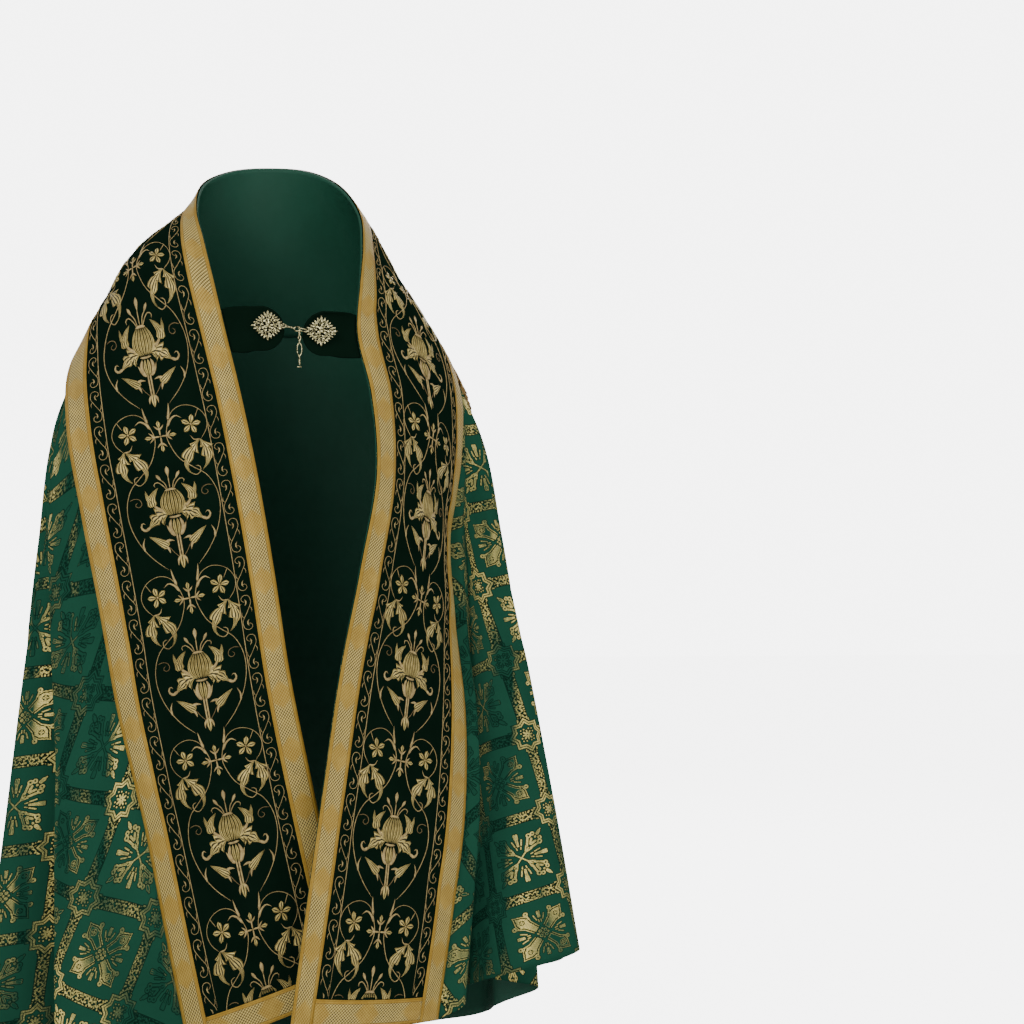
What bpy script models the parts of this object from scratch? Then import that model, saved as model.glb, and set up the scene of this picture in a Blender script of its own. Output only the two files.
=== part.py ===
"""A cope: a half-circle liturgical cloak with velvet front bands, a shield-shaped hood and a morse clasp.

Metres, +Z up, front towards -Y, wearer's left towards +X. The origin is the middle of the neck opening, at
the height of the neck's base, where the wearer's shoulders hold the cope. The cope keeps its worn form,
with the left front lifted by a raised forearm, and it hangs open at the neck, the front and the hem.

The cloth is described in two zones. The band zone lies under the velvet bands: `along` runs from the hem
of the right front, behind the neck (0), to the hem of the left front, and `across` from the inner to the
outer edge. The skirt zone hangs from the band's outer edge: `around` runs from the right front edge (-1)
behind the back (0) to the left front edge (1), and `down` from the band (0) to the hem (1).
"""

import math
from collections import namedtuple

import bmesh
import bpy
import numpy as np

# ---------------------------------------------------------------- driving dimensions
CUT_RADIUS = 1.40  # radius of the half circle that the cloth is cut to
BAND_WIDTH = 0.26  # velvet front band, both braids included
BRAID_WIDTH = 0.036
BAND_LENGTH = 1.40  # from the middle of the back to each front hem
SHOULDER_REACH = 0.34  # along the band, from the middle of the back to the point of each shoulder

CLOTH_WALL = 0.0020  # brocade and its lining, sewn together
VELVET_WALL = 0.0014
BRAID_WALL = 0.0012
LINING_WALL = 0.0010
SEAM_GAP = 0.0003  # between two pieces that are sewn to each other

HOOD_HALF_WIDTH = 0.300
HOOD_DROP = 0.530
HOOD_CORNER = 0.150
HOOD_LIFT = (0.0050, 0.0130)  # clear of the cloth, at its top and at its foot
HOOD_SIDE_LIFT = 0.009  # more than that at its sides, where the cloth turns forward
HOOD_LIFT_START = 0.06  # how far down the sides reach that
HOOD_TOP = 0.0045  # just below the band's outer braid
FRINGE_DROP = 0.038
FRINGE_STRIP = 0.007
FRINGE_STRANDS = 116
STRAND_THICK = 0.0024
STRAND_WAY = (0.55, 0.85)  # outwards and down
STRAND_CLEAR = 0.010  # how far a strand's tip stands off the cloth

TAB_HEIGHT = 0.064
TAB_WALL = 0.0030
CLASP_WIDTH = 0.050
CLASP_HEIGHT = 0.046
CLASP_THICK = 0.0022
HOOK_THICK = 0.0026
HOOK_Y = -0.168
CHAIN_DROP = 0.056

# ---------------------------------------------------------------- mesh density
SKIRT_ROWS = 15
FAN_COLUMNS = 40
BACK_COLUMNS = 12  # on each side of the centre-back braid
BAND_CELLS = 3  # across the velvet, between the braids
HOOD_SIDE_CELLS = 9
HOOD_CORNER_CELLS = 6
HOOD_FOOT_CELLS = 10
HOOD_CELLS = (HOOD_SIDE_CELLS, HOOD_CORNER_CELLS, HOOD_FOOT_CELLS)

# ---------------------------------------------------------------- tables
# Each row is one station of the band: its distance from the middle of the back, then the points where its
# inner edge, its middle and its outer edge lie there.
Station = namedtuple("Station", "along inner middle outer")
NAPE = Station(0.00, (0.000, 0.088, 0.092), (0.000, 0.130, -0.036), (0.000, 0.178, -0.165))
RIGHT_BAND = [
    Station(0.07, (-0.062, 0.070, 0.084), (-0.066, 0.122, -0.038), (-0.070, 0.175, -0.166)),
    Station(0.14, (-0.105, 0.022, 0.056), (-0.125, 0.095, -0.038), (-0.140, 0.160, -0.167)),
    Station(0.20, (-0.112, -0.035, 0.014), (-0.170, 0.052, -0.030), (-0.194, 0.137, -0.160)),
    Station(0.27, (-0.100, -0.085, -0.040), (-0.203, 0.002, -0.045), (-0.244, 0.088, -0.160)),
    Station(0.34, (-0.085, -0.118, -0.102), (-0.210, -0.060, -0.095), (-0.283, 0.035, -0.185)),
    Station(0.42, (-0.068, -0.145, -0.175), (-0.192, -0.115, -0.195), (-0.304, -0.028, -0.235)),
    Station(0.52, (-0.045, -0.168, -0.270), (-0.172, -0.156, -0.296), (-0.302, -0.092, -0.318)),
    Station(0.64, (-0.021, -0.185, -0.386), (-0.150, -0.186, -0.414), (-0.279, -0.138, -0.440)),
    Station(0.78, (0.003, -0.197, -0.524), (-0.125, -0.203, -0.552), (-0.251, -0.160, -0.580)),
    Station(0.94, (0.027, -0.203, -0.682), (-0.100, -0.212, -0.712), (-0.222, -0.170, -0.740)),
    Station(1.10, (0.058, -0.202, -0.835), (-0.070, -0.212, -0.868), (-0.184, -0.175, -0.900)),
    Station(1.25, (0.090, -0.197, -0.984), (-0.036, -0.209, -1.026), (-0.152, -0.174, -1.066)),
    Station(1.40, (0.124, -0.190, -1.140), (0.001, -0.205, -1.188), (-0.119, -0.170, -1.236)),
]
LEFT_BAND = [
    Station(0.07, (0.062, 0.070, 0.084), (0.066, 0.122, -0.038), (0.070, 0.175, -0.166)),
    Station(0.14, (0.109, 0.022, 0.053), (0.128, 0.094, -0.040), (0.140, 0.160, -0.167)),
    Station(0.20, (0.133, -0.028, 0.010), (0.170, 0.050, -0.045), (0.196, 0.135, -0.160)),
    Station(0.27, (0.137, -0.072, -0.045), (0.192, 0.004, -0.082), (0.243, 0.088, -0.173)),
    Station(0.34, (0.132, -0.105, -0.105), (0.212, -0.040, -0.128), (0.273, 0.047, -0.210)),
    Station(0.42, (0.127, -0.136, -0.178), (0.226, -0.076, -0.198), (0.291, 0.012, -0.272)),
    Station(0.52, (0.146, -0.172, -0.270), (0.240, -0.094, -0.296), (0.290, 0.006, -0.368)),
    Station(0.64, (0.153, -0.205, -0.385), (0.235, -0.115, -0.418), (0.273, 0.006, -0.478)),
    Station(0.78, (0.130, -0.215, -0.522), (0.222, -0.142, -0.560), (0.278, -0.036, -0.610)),
    Station(0.94, (0.099, -0.226, -0.680), (0.203, -0.168, -0.715), (0.291, -0.078, -0.755)),
    Station(1.10, (0.074, -0.240, -0.850), (0.184, -0.196, -0.876), (0.287, -0.115, -0.905)),
    Station(1.25, (0.051, -0.252, -1.010), (0.163, -0.217, -1.030), (0.267, -0.138, -1.050)),
    Station(1.40, (0.027, -0.262, -1.185), (0.137, -0.235, -1.192), (0.244, -0.160, -1.197)),
]

# Each row is one level of the skirt: how far down it is, then where the cloth passes in plan, from the
# right front corner behind the back to the left one. The fronts' own edges come from the bands.
Level = namedtuple("Level", "down corner_r side_r back_r centre back_l side_l corner_l")
SKIRT_LEVELS = [
    Level(0.12, (-0.320, -0.005), (-0.325, 0.050), (-0.321, 0.128), (0, 0.187),
          (0.318, 0.128), (0.320, 0.075), (0.308, 0.040)),
    Level(0.28, (-0.318, -0.078), (-0.334, 0.035), (-0.333, 0.152), (0, 0.200),
          (0.333, 0.152), (0.342, 0.070), (0.316, 0.028)),
    Level(0.50, (-0.300, -0.115), (-0.350, 0.030), (-0.337, 0.184), (0, 0.220),
          (0.338, 0.184), (0.368, 0.060), (0.336, -0.020)),
    Level(0.75, (-0.285, -0.130), (-0.367, 0.035), (-0.339, 0.218), (0, 0.250),
          (0.341, 0.218), (0.394, 0.060), (0.350, -0.062)),
    Level(1.00, (-0.275, -0.140), (-0.388, 0.040), (-0.342, 0.256), (0, 0.285),
          (0.346, 0.256), (0.418, 0.060), (0.350, -0.100)),
]
LEVEL_AROUND = (-1.0, -0.775, -0.535, -0.25, 0.0, 0.25, 0.535, 0.775, 1.0)
BACK_AROUND = 0.25  # where the flat back ends and the folded side begins
HEM_HEIGHT = (-1.252, -1.262, -1.285, -1.305, -1.265, -1.126, -1.150)  # corner_r to corner_l

# Each row is one ridge (+) or hollow (-) of the side folds: its place between the front edge (0) and the
# flat back (1), and how far it stands out at the hem.
Fold = namedtuple("Fold", "place depth")
RIGHT_FOLDS = [
    Fold(0.00, 0.000), Fold(0.32, 0.044), Fold(0.42, -0.068), Fold(0.56, 0.076), Fold(0.66, -0.052),
    Fold(0.745, 0.042), Fold(0.82, -0.046), Fold(0.89, 0.036), Fold(0.95, -0.020), Fold(1.00, 0.000),
]
LEFT_FOLDS = [
    Fold(0.00, 0.000), Fold(0.09, 0.010), Fold(0.20, -0.050), Fold(0.54, 0.068), Fold(0.64, -0.054),
    Fold(0.73, 0.044), Fold(0.81, -0.046), Fold(0.88, 0.038), Fold(0.945, -0.022), Fold(1.00, 0.000),
]
FOLD_START = 0.07  # how far down the side folds begin
# Each row is one soft wave of the back: its middle, its half width and its depth at the hem.
Wave = namedtuple("Wave", "middle reach depth")
BACK_WAVES = [
    Wave(-0.19, 0.055, 0.016), Wave(-0.10, 0.060, -0.014), Wave(-0.01, 0.060, 0.012),
    Wave(0.08, 0.055, -0.013), Wave(0.18, 0.060, 0.017),
]
WAVE_START = 0.50

# Each row is one half of the morse: the side it is on, the height of its tab, where its round end comes
# to, how far forward that is, and the middle of its clasp.
Morse = namedtuple("Morse", "side height tip_x tip_y clasp_x clasp_z")
MORSES = [
    Morse("right", -0.177, 0.0195, -0.160, -0.005, -0.171),
    Morse("left", -0.184, 0.0460, -0.160, 0.0735, -0.179),
]

COLOURS = {
    "brocade": ((0.012, 0.060, 0.034), 0.48, 0.0),
    "velvet": ((0.003, 0.007, 0.005), 0.90, 0.0),
    "braid": ((0.42, 0.29, 0.10), 0.45, 0.35),
    "fringe": ((0.20, 0.13, 0.05), 0.60, 0.2),
    "lining": ((0.012, 0.055, 0.032), 0.40, 0.0),
    "gilt": ((0.62, 0.53, 0.33), 0.30, 1.0),
}


# ---------------------------------------------------------------- helpers
def through(knots, values, at):
    """A smooth curve through the values at the knots, read at each place in `at`."""
    knots, values, at = np.asarray(knots, float), np.asarray(values, float), np.asarray(at, float)
    slopes = np.gradient(values, knots, axis=0)
    cell = np.clip(np.searchsorted(knots, at, side="right") - 1, 0, len(knots) - 2)
    width = knots[cell + 1] - knots[cell]
    t = (at - knots[cell]) / width
    shape = t.shape + (1,) * (values.ndim - 1)
    t, width = t.reshape(shape), width.reshape(shape)
    return (
        (2 * t**3 - 3 * t**2 + 1) * values[cell]
        + (t**3 - 2 * t**2 + t) * width * slopes[cell]
        + (3 * t**2 - 2 * t**3) * values[cell + 1]
        + (t**3 - t**2) * width * slopes[cell + 1]
    )


def ease(t):
    t = np.clip(t, 0, 1)
    return t * t * (3 - 2 * t)


def material(name):
    found = bpy.data.materials.get(name)
    if found:
        return found
    colour, roughness, metallic = COLOURS[name]
    made = bpy.data.materials.new(name)
    made.use_nodes = True
    shader = made.node_tree.nodes["Principled BSDF"]
    shader.inputs["Base Color"].default_value = (*colour, 1.0)
    shader.inputs["Roughness"].default_value = roughness
    shader.inputs["Metallic"].default_value = metallic
    made.diffuse_color = (*colour, 1.0)
    return made


def add_mesh(name, points, faces, finish):
    mesh = bpy.data.meshes.new(name)
    mesh.from_pydata([tuple(map(float, p)) for p in points], [], [tuple(map(int, f)) for f in faces])
    mesh.validate()
    mesh.materials.append(material(finish))
    made = bpy.data.objects.new(name, mesh)
    bpy.context.scene.collection.objects.link(made)
    mesh.shade_smooth()
    mesh.set_sharp_from_angle(angle=math.radians(40))
    return made


def grid_faces(index):
    """Triangles over a grid of point numbers, all cut along the same diagonal; a cell may close to a pole."""
    faces = []
    for i in range(index.shape[0] - 1):
        for j in range(index.shape[1] - 1):
            a, b, c, d = index[i, j], index[i + 1, j], index[i + 1, j + 1], index[i, j + 1]
            faces += [f for f in ((a, b, c), (a, c, d)) if len(set(f)) == 3]
    return faces


def point_normals(points, faces):
    faces = np.asarray(faces)
    a, b, c = points[faces[:, 0]], points[faces[:, 1]], points[faces[:, 2]]
    across = np.cross(b - a, c - a)
    total = np.zeros_like(points)
    for corner in range(3):
        np.add.at(total, faces[:, corner], across)
    return total / np.maximum(np.linalg.norm(total, axis=1, keepdims=True), 1e-12)


def add_wall(name, points, normals, faces, low, high, finish):
    """A closed wall over an open surface, from `low` to `high` metres outside it."""
    low, high = (np.broadcast_to(np.asarray(level, float), len(points))[:, None] for level in (low, high))
    outer, inner = points + normals * high, points + normals * low
    n = len(points)
    walls = [tuple(f) for f in faces] + [tuple(n + k for k in reversed(f)) for f in faces]
    edges = {(f[k], f[(k + 1) % 3]) for f in faces for k in range(3)}
    for a, b in sorted(edges):
        if (b, a) not in edges:
            walls += [(b, a, n + a), (b, n + a, n + b)]
    used = sorted({k for f in walls for k in f})
    place = {k: i for i, k in enumerate(used)}
    both = np.concatenate([outer, inner])
    return add_mesh(name, both[used], [tuple(place[k] for k in f) for f in walls], finish)


# ---------------------------------------------------------------- the cloth's surface
STATIONS = [row._replace(along=-row.along) for row in reversed(RIGHT_BAND)] + [NAPE] + LEFT_BAND
ALONGS = [row.along for row in STATIONS]


def band_point(along, across):
    """Points of the band zone, for arrays of equal length."""
    inner, middle, outer = (
        through(ALONGS, [getattr(row, edge) for row in STATIONS], along) for edge in ("inner", "middle", "outer")
    )
    t = (np.asarray(across, float) / BAND_WIDTH)[..., None]
    return inner * (1 - t) * (1 - 2 * t) + middle * 4 * t * (1 - t) + outer * t * (2 * t - 1)


def outer_edge(along):
    return band_point(along, np.full(np.shape(along), BAND_WIDTH))


def front_along(down):
    """How far along the band the skirt's front edge is at this level."""
    return SHOULDER_REACH + np.asarray(down, float) * (BAND_LENGTH - SHOULDER_REACH)


def top_along(around):
    """Where on the band's outer edge a column of the skirt begins: the sides all fan out from the shoulders."""
    return np.clip(np.asarray(around, float) / BACK_AROUND, -1, 1) * SHOULDER_REACH


def skirt_base(around, down):
    """Points of the skirt zone before its folds, for arrays of equal length."""
    around, down = np.atleast_1d(around).astype(float), np.atleast_1d(down).astype(float)
    top = outer_edge(top_along(np.array(LEVEL_AROUND[1:-1])))
    levels = np.array([list(row[1:]) for row in SKIRT_LEVELS])
    plans = np.concatenate([top[None, :, :2], levels])
    downs = [0.0] + [row.down for row in SKIRT_LEVELS]
    plan = through(downs, plans, down)
    height = top[None, :, 2] + (np.array(HEM_HEIGHT) - top[:, 2])[None, :] * down[:, None]
    keys = np.concatenate([plan, height[:, :, None]], axis=2)
    right, left = outer_edge(-front_along(down)), outer_edge(front_along(down))
    keys = np.concatenate([right[:, None], keys, left[:, None]], axis=1)
    row = np.array([through(LEVEL_AROUND, keys[k], around[k]) for k in range(len(down))])
    flat = np.concatenate([outer_edge(np.array([-SHOULDER_REACH])), top, outer_edge(np.array([SHOULDER_REACH]))])
    miss = outer_edge(top_along(around)) - through(LEVEL_AROUND, flat, around)
    return row + miss * ((1 - down) ** 4)[:, None]


def fold_offset(around, down):
    """How far the cloth stands out from its base at each place."""
    place = (1 - np.abs(around)) / (1 - BACK_AROUND)
    offset = np.zeros(len(around))
    for folds, here in ((RIGHT_FOLDS, around < 0), (LEFT_FOLDS, around >= 0)):
        places, depths = np.array([f.place for f in folds]), np.array([f.depth for f in folds])
        cell = np.clip(np.searchsorted(places, place, side="right") - 1, 0, len(folds) - 2)
        t = ease((place - places[cell]) / (places[cell + 1] - places[cell]))
        side = depths[cell] * (1 - t) + depths[cell + 1] * t
        offset = np.where(here & (place < 1), side, offset)
    offset = offset * np.clip((down - FOLD_START) / (1 - FOLD_START), 0, 1)
    growth = ease((down - WAVE_START) / (1 - WAVE_START))
    for wave in BACK_WAVES:
        near = np.clip(1 - np.abs(around - wave.middle) / wave.reach, 0, 1)
        offset = offset + wave.depth * ease(near) * growth
    return offset


def skirt_point(around, down):
    around, down = np.atleast_1d(around).astype(float), np.atleast_1d(down).astype(float)
    step = 1e-3
    ahead = skirt_base(np.minimum(around + step, 1), down)
    behind = skirt_base(np.maximum(around - step, -1), down)
    course = ahead - behind
    out = np.stack([-course[:, 1], course[:, 0]], axis=1)
    out /= np.maximum(np.linalg.norm(out, axis=1, keepdims=True), 1e-9)
    points = skirt_base(around, down)
    points[:, :2] += out * fold_offset(around, down)[:, None]
    return points


# ---------------------------------------------------------------- the cloth's mesh
def cloth():
    """The whole cloth as one open surface: points, normals, faces and the band zone's grid of point numbers."""
    last = 1 - BRAID_WIDTH / (BAND_LENGTH - SHOULDER_REACH)
    downs = np.append(np.linspace(0, last, SKIRT_ROWS), 1.0)
    half_braid = BRAID_WIDTH / 2
    one_side = np.linspace(half_braid, SHOULDER_REACH, BACK_COLUMNS + 1)
    backs = np.concatenate([-one_side[::-1], one_side])
    fronts = front_along(downs[1:])
    alongs = np.concatenate([-fronts[::-1], backs, fronts])
    velvet = np.linspace(BRAID_WIDTH, BAND_WIDTH - BRAID_WIDTH, BAND_CELLS + 1)
    acrosses = np.concatenate([[0.0], velvet, [BAND_WIDTH]])
    grid_along, grid_across = np.meshgrid(alongs, acrosses, indexing="ij")
    points = band_point(grid_along.ravel(), grid_across.ravel())
    band = np.arange(len(points)).reshape(grid_along.shape)

    fan = np.linspace(-1, -BACK_AROUND, FAN_COLUMNS + 1)[:-1]
    arounds = np.concatenate([fan, backs / SHOULDER_REACH * BACK_AROUND, -fan[::-1]])
    rows, right, left = len(downs), len(fronts), len(fronts) + len(backs) - 1
    skirt = np.zeros((len(arounds), rows), int)
    skirt[:, 0] = [band[right + min(max(a - FAN_COLUMNS, 0), len(backs) - 1), -1] for a in range(len(arounds))]
    for row in range(1, rows):
        skirt[0, row], skirt[-1, row] = band[right - row, -1], band[left + row, -1]
    inside = np.arange((len(arounds) - 2) * (rows - 1)).reshape(len(arounds) - 2, rows - 1)
    skirt[1:-1, 1:] = inside + len(points)
    grid_around, grid_down = np.meshgrid(arounds[1:-1], downs[1:], indexing="ij")
    points = np.concatenate([points, skirt_point(grid_around.ravel(), grid_down.ravel())])
    faces = grid_faces(band) + grid_faces(skirt)
    return points, point_normals(points, faces), faces, band


def patch(surface, rows, columns, inset=(0, 0, 0, 0)):
    """A stretch of the band zone's grid. `inset` draws in its first row, last row, first and last column."""
    points, normals, _, band = surface
    cells = band[rows[0] : rows[1] + 1, columns[0] : columns[1] + 1]
    here, out = points[cells].copy(), normals[cells].copy()
    for axis, end, amount in ((0, 0, inset[0]), (0, -1, inset[1]), (1, 0, inset[2]), (1, -1, inset[3])):
        if amount:
            edge, beside = (end, 1 if end == 0 else -2)
            a, b = np.take(here, edge, axis), np.take(here, beside, axis)
            reach = np.linalg.norm(b - a, axis=1, keepdims=True)
            moved = a + (b - a) * amount / reach
            if axis == 0:
                here[edge] = moved
            else:
                here[:, edge] = moved
    index = np.arange(cells.size).reshape(cells.shape)
    return here.reshape(-1, 3), out.reshape(-1, 3), grid_faces(index)


def add_body(surface):
    points, normals, faces, _ = surface
    add_wall("cope_body", points, normals, faces, -CLOTH_WALL, 0, "brocade")


def add_bands(surface):
    """The velvet of both fronts, and the braids along its edges, its hems and the middle of the back."""
    band = surface[3]
    rows, columns = band.shape[0] - 1, band.shape[1] - 1
    middle = rows // 2
    velvet = (SEAM_GAP, SEAM_GAP + VELVET_WALL)
    braid = (velvet[1] + SEAM_GAP, velvet[1] + SEAM_GAP + BRAID_WALL)
    half = BRAID_WIDTH / 2 + SEAM_GAP / 2
    near, gap = SEAM_GAP / 2, SEAM_GAP
    add_wall("orphrey_right", *patch(surface, (0, middle + 1), (0, columns), (0, half, 0, 0)), *velvet, "velvet")
    add_wall("orphrey_left", *patch(surface, (middle, rows), (0, columns), (half, 0, 0, 0)), *velvet, "velvet")
    add_wall("braid_inner", *patch(surface, (0, rows), (0, 1), (0, 0, 0, near)), *braid, "braid")
    add_wall("braid_outer", *patch(surface, (0, rows), (columns - 1, columns), (0, 0, near, 0)), *braid, "braid")
    between = (1, columns - 1)
    add_wall("braid_hem_right", *patch(surface, (0, 1), between, (0, 0, gap, gap)), *braid, "braid")
    add_wall("braid_hem_left", *patch(surface, (rows - 1, rows), between, (0, 0, gap, gap)), *braid, "braid")
    add_wall("braid_back", *patch(surface, (middle, middle + 1), between, (0, 0, gap, gap)), *braid, "braid")


def add_collar_lining(surface):
    """The plain lining inside the neck and shoulders, where it shows above the wearer."""
    band = surface[3]
    rows, columns = band.shape[0] - 1, band.shape[1] - 1
    reach = BACK_COLUMNS + 3
    middle = rows // 2
    span = (middle - reach, middle + 1 + reach)
    outside = -CLOTH_WALL - SEAM_GAP
    add_wall(
        "collar_lining", *patch(surface, span, (0, columns)),
        outside - LINING_WALL, outside, "lining",
    )


# ---------------------------------------------------------------- hood
def hood_surface(side, drop):
    """Points and normals of the hood, for distances beside the middle of the back and below the band."""
    side, drop = np.atleast_1d(side).astype(float), np.atleast_1d(drop).astype(float)
    skirt_length = CUT_RADIUS - BAND_WIDTH
    around, down = side / SHOULDER_REACH * BACK_AROUND, drop / skirt_length
    step = 2e-3
    beside = skirt_base(around + step, down) - skirt_base(around - step, down)
    below = skirt_base(around, down + step) - skirt_base(around, np.maximum(down - step, 0))
    normals = np.cross(beside, below)
    normals /= np.linalg.norm(normals, axis=1, keepdims=True)
    clear = HOOD_LIFT[0] + (HOOD_LIFT[1] - HOOD_LIFT[0]) * drop / HOOD_DROP
    clear += HOOD_SIDE_LIFT * np.abs(side / HOOD_HALF_WIDTH) ** 3 * ease(drop / HOOD_LIFT_START)
    return skirt_base(around, down) + normals * clear[:, None], normals


def hood_outline(out, counts):
    """The hood's edge, moved out by `out`: down the right side, along the foot and up the left side."""
    side_cells, corner_cells, foot_cells = counts
    half, foot, corner = HOOD_HALF_WIDTH + out, HOOD_DROP + out, HOOD_CORNER + out
    straight = foot - corner
    points = [(half, HOOD_TOP + (straight - HOOD_TOP) * k / side_cells) for k in range(side_cells)]
    for k in range(corner_cells):
        turn = math.radians(90) * k / corner_cells
        points.append((half - corner + corner * math.cos(turn), straight + corner * math.sin(turn)))
    inner = half - corner
    points += [(inner - 2 * inner * k / foot_cells, foot) for k in range(foot_cells + 1)]
    mirror = [(-x, z) for x, z in reversed(points[: side_cells + corner_cells])]
    return np.array(points + mirror)


def add_hood():
    outer, inner = hood_outline(0, HOOD_CELLS), hood_outline(-BRAID_WIDTH, HOOD_CELLS)
    inner[[0, -1], 1] = outer[[0, -1], 1]
    deep = HOOD_SIDE_CELLS + HOOD_CORNER_CELLS
    foot = inner[deep : len(inner) - deep]
    shares = (foot[:, 0] - foot[0, 0]) / (foot[-1, 0] - foot[0, 0])
    field = np.zeros((len(shares), deep + 1, 2))
    for row in range(deep + 1):
        start, end = inner[row], inner[len(inner) - 1 - row]
        field[:, row] = start + (end - start) * shares[:, None]
    numbers = np.arange(field.shape[0] * field.shape[1]).reshape(field.shape[:2])
    rim = np.concatenate([numbers[0, :deep], numbers[:, deep], numbers[-1, :deep][::-1]])
    flat = np.concatenate([field.reshape(-1, 2), outer])
    ring = np.stack([numbers.size + np.arange(len(outer)), rim], axis=1)
    faces = [f[::-1] for f in grid_faces(numbers)] + grid_faces(ring)
    points, normals = hood_surface(flat[:, 0], flat[:, 1])
    add_wall("hood", points, normals, faces, 0, VELVET_WALL, "velvet")
    low = VELVET_WALL + SEAM_GAP
    add_wall("hood_braid", points, normals, grid_faces(ring), low, low + BRAID_WALL, "braid")


def add_fringe():
    """Bullion fringe: strands that hang from a narrow strip beside the hood's sides and foot."""
    dense = hood_outline(0, (60, 40, 60))
    run = np.concatenate([[0], np.cumsum(np.linalg.norm(np.diff(dense, axis=0), axis=1))])
    stops = np.linspace(0, 1, 2 * FRINGE_STRANDS)
    inner_flat, outer_flat = (
        np.stack([np.interp(stops * run[-1], run, line[:, k]) for k in range(2)], axis=1)
        for line in (hood_outline(SEAM_GAP * 2, (60, 40, 60)), hood_outline(FRINGE_STRIP, (60, 40, 60)))
    )
    inner, normals = hood_surface(inner_flat[:, 0], inner_flat[:, 1])
    outer, _ = hood_surface(outer_flat[:, 0], outer_flat[:, 1])
    outward = outer - inner
    outward /= np.linalg.norm(outward, axis=1, keepdims=True)
    half = STRAND_THICK / 2
    mesh = bmesh.new()
    rings = []
    for k in range(len(stops)):
        corners = (
            inner[k] - normals[k] * half, outer[k] - normals[k] * half,
            outer[k] + normals[k] * half, inner[k] + normals[k] * half,
        )
        rings.append([mesh.verts.new(c + normals[k] * VELVET_WALL / 2) for c in corners])
    mesh.faces.new(rings[0])
    mesh.faces.new(rings[-1][::-1])
    for k in range(len(rings) - 1):
        for side in range(4):
            ahead = (side + 1) % 4
            quad = (rings[k][side], rings[k + 1][side], rings[k + 1][ahead], rings[k][ahead])
            if side == 1 and k % 2 == 0:
                add_strand(mesh, quad, outward[k] + outward[k + 1], normals[k])
            else:
                mesh.faces.new(quad)
    bmesh.ops.recalc_face_normals(mesh, faces=mesh.faces)
    bmesh.ops.triangulate(mesh, faces=mesh.faces)
    made = add_mesh("hood_fringe", [], [], "fringe")
    mesh.to_mesh(made.data)
    mesh.free()


def add_strand(mesh, root, outward, normal):
    """One strand, drawn out of a face of the strip: outwards at first, and then down under its weight."""
    down = np.array([0.0, 0.0, -1.0])
    outward = outward / np.linalg.norm(outward)
    way = outward * STRAND_WAY[0] + down * STRAND_WAY[1]
    way /= np.linalg.norm(way)
    middle = np.mean([np.array(v.co) for v in root], axis=0)
    tips = []
    for v in root:
        spread = (np.array(v.co) - middle) * 0.72
        tips.append(mesh.verts.new(middle + spread + way * FRINGE_DROP + normal * STRAND_CLEAR))
    for k in range(4):
        ahead = (k + 1) % 4
        mesh.faces.new((root[k], root[ahead], tips[ahead], tips[k]))
    mesh.faces.new(tips)


# ---------------------------------------------------------------- morse
def band_inner_at(side, heights):
    """Points of a front's inner edge at these heights."""
    sign = -1 if side == "right" else 1
    alongs = sign * np.linspace(0.3, 0.7, 81)
    edge = band_point(alongs, np.zeros(81))
    order = np.argsort(edge[:, 2])
    return np.stack([np.interp(heights, edge[order, 2], edge[order, k]) for k in range(3)], axis=1)


def tab_surface(morse):
    """A grid over one tab, from its sewn root to its round end."""
    sign = 1 if morse.side == "right" else -1
    radius = TAB_HEIGHT / 2
    turns = np.radians(np.linspace(-90, 90, 9))
    heights = morse.height + radius * np.sin(turns)
    roots = band_inner_at(morse.side, heights)
    roots[:, 0] += sign * 0.0012
    tips = np.stack([
        morse.tip_x - sign * radius * (1 - np.cos(turns)), np.full(9, morse.tip_y), heights,
    ], axis=1)
    shares = np.linspace(0, 1, 6)[:, None, None]
    points = roots[None] * (1 - shares) + tips[None] * shares
    points[:, :, 1] -= 0.004 * np.sin(np.pi * shares[:, :, 0])
    faces = grid_faces(np.arange(54).reshape(6, 9))
    if morse.side == "left":
        faces = [f[::-1] for f in faces]
    points = points.reshape(-1, 3)
    normals = point_normals(points, faces)
    if normals[:, 1].mean() > 0:
        normals, faces = -normals, [f[::-1] for f in faces]
    return points, normals, faces


def add_morses():
    for morse in MORSES:
        points, normals, faces = tab_surface(morse)
        add_wall(f"morse_tab_{morse.side}", points, normals, faces, -TAB_WALL, 0, "velvet")
        front = np.min(points[:, 1]) - 0.0006
        add_clasp(f"morse_clasp_{morse.side}", morse.clasp_x, front, morse.clasp_z)


def add_clasp(name, x, y, z):
    """A pointed filigree plate: a diamond of sixteen leaf tips with a domed middle."""
    tips = 16
    rim, dome = [], []
    for k in range(2 * tips):
        turn = math.pi * k / tips
        diamond = 1 / (abs(math.cos(turn)) ** 1.5 + abs(math.sin(turn)) ** 1.5) ** (1 / 1.5)
        reach = diamond * (1.0 if k % 2 == 0 else 0.86)
        across, up = CLASP_WIDTH / 2 * math.cos(turn), CLASP_HEIGHT / 2 * math.sin(turn)
        rim.append((across * reach, up * reach))
        dome.append((across * diamond * 0.55, up * diamond * 0.55))
    n = len(rim)
    points = [(x + px, y, z + pz) for px, pz in rim]
    points += [(x + px, y - CLASP_THICK, z + pz) for px, pz in rim]
    points += [(x + px, y - CLASP_THICK * 1.7, z + pz) for px, pz in dome]
    points += [(x, y, z), (x, y - CLASP_THICK * 2.3, z)]
    faces = []
    for k in range(n):
        a = (k + 1) % n
        faces += [(k, a, n + a), (k, n + a, n + k), (n + k, n + a, 2 * n + a), (n + k, 2 * n + a, 2 * n + k)]
        faces += [(3 * n, a, k), (2 * n + k, 2 * n + a, 3 * n + 1)]
    add_mesh(name, points, faces, "gilt")


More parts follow.
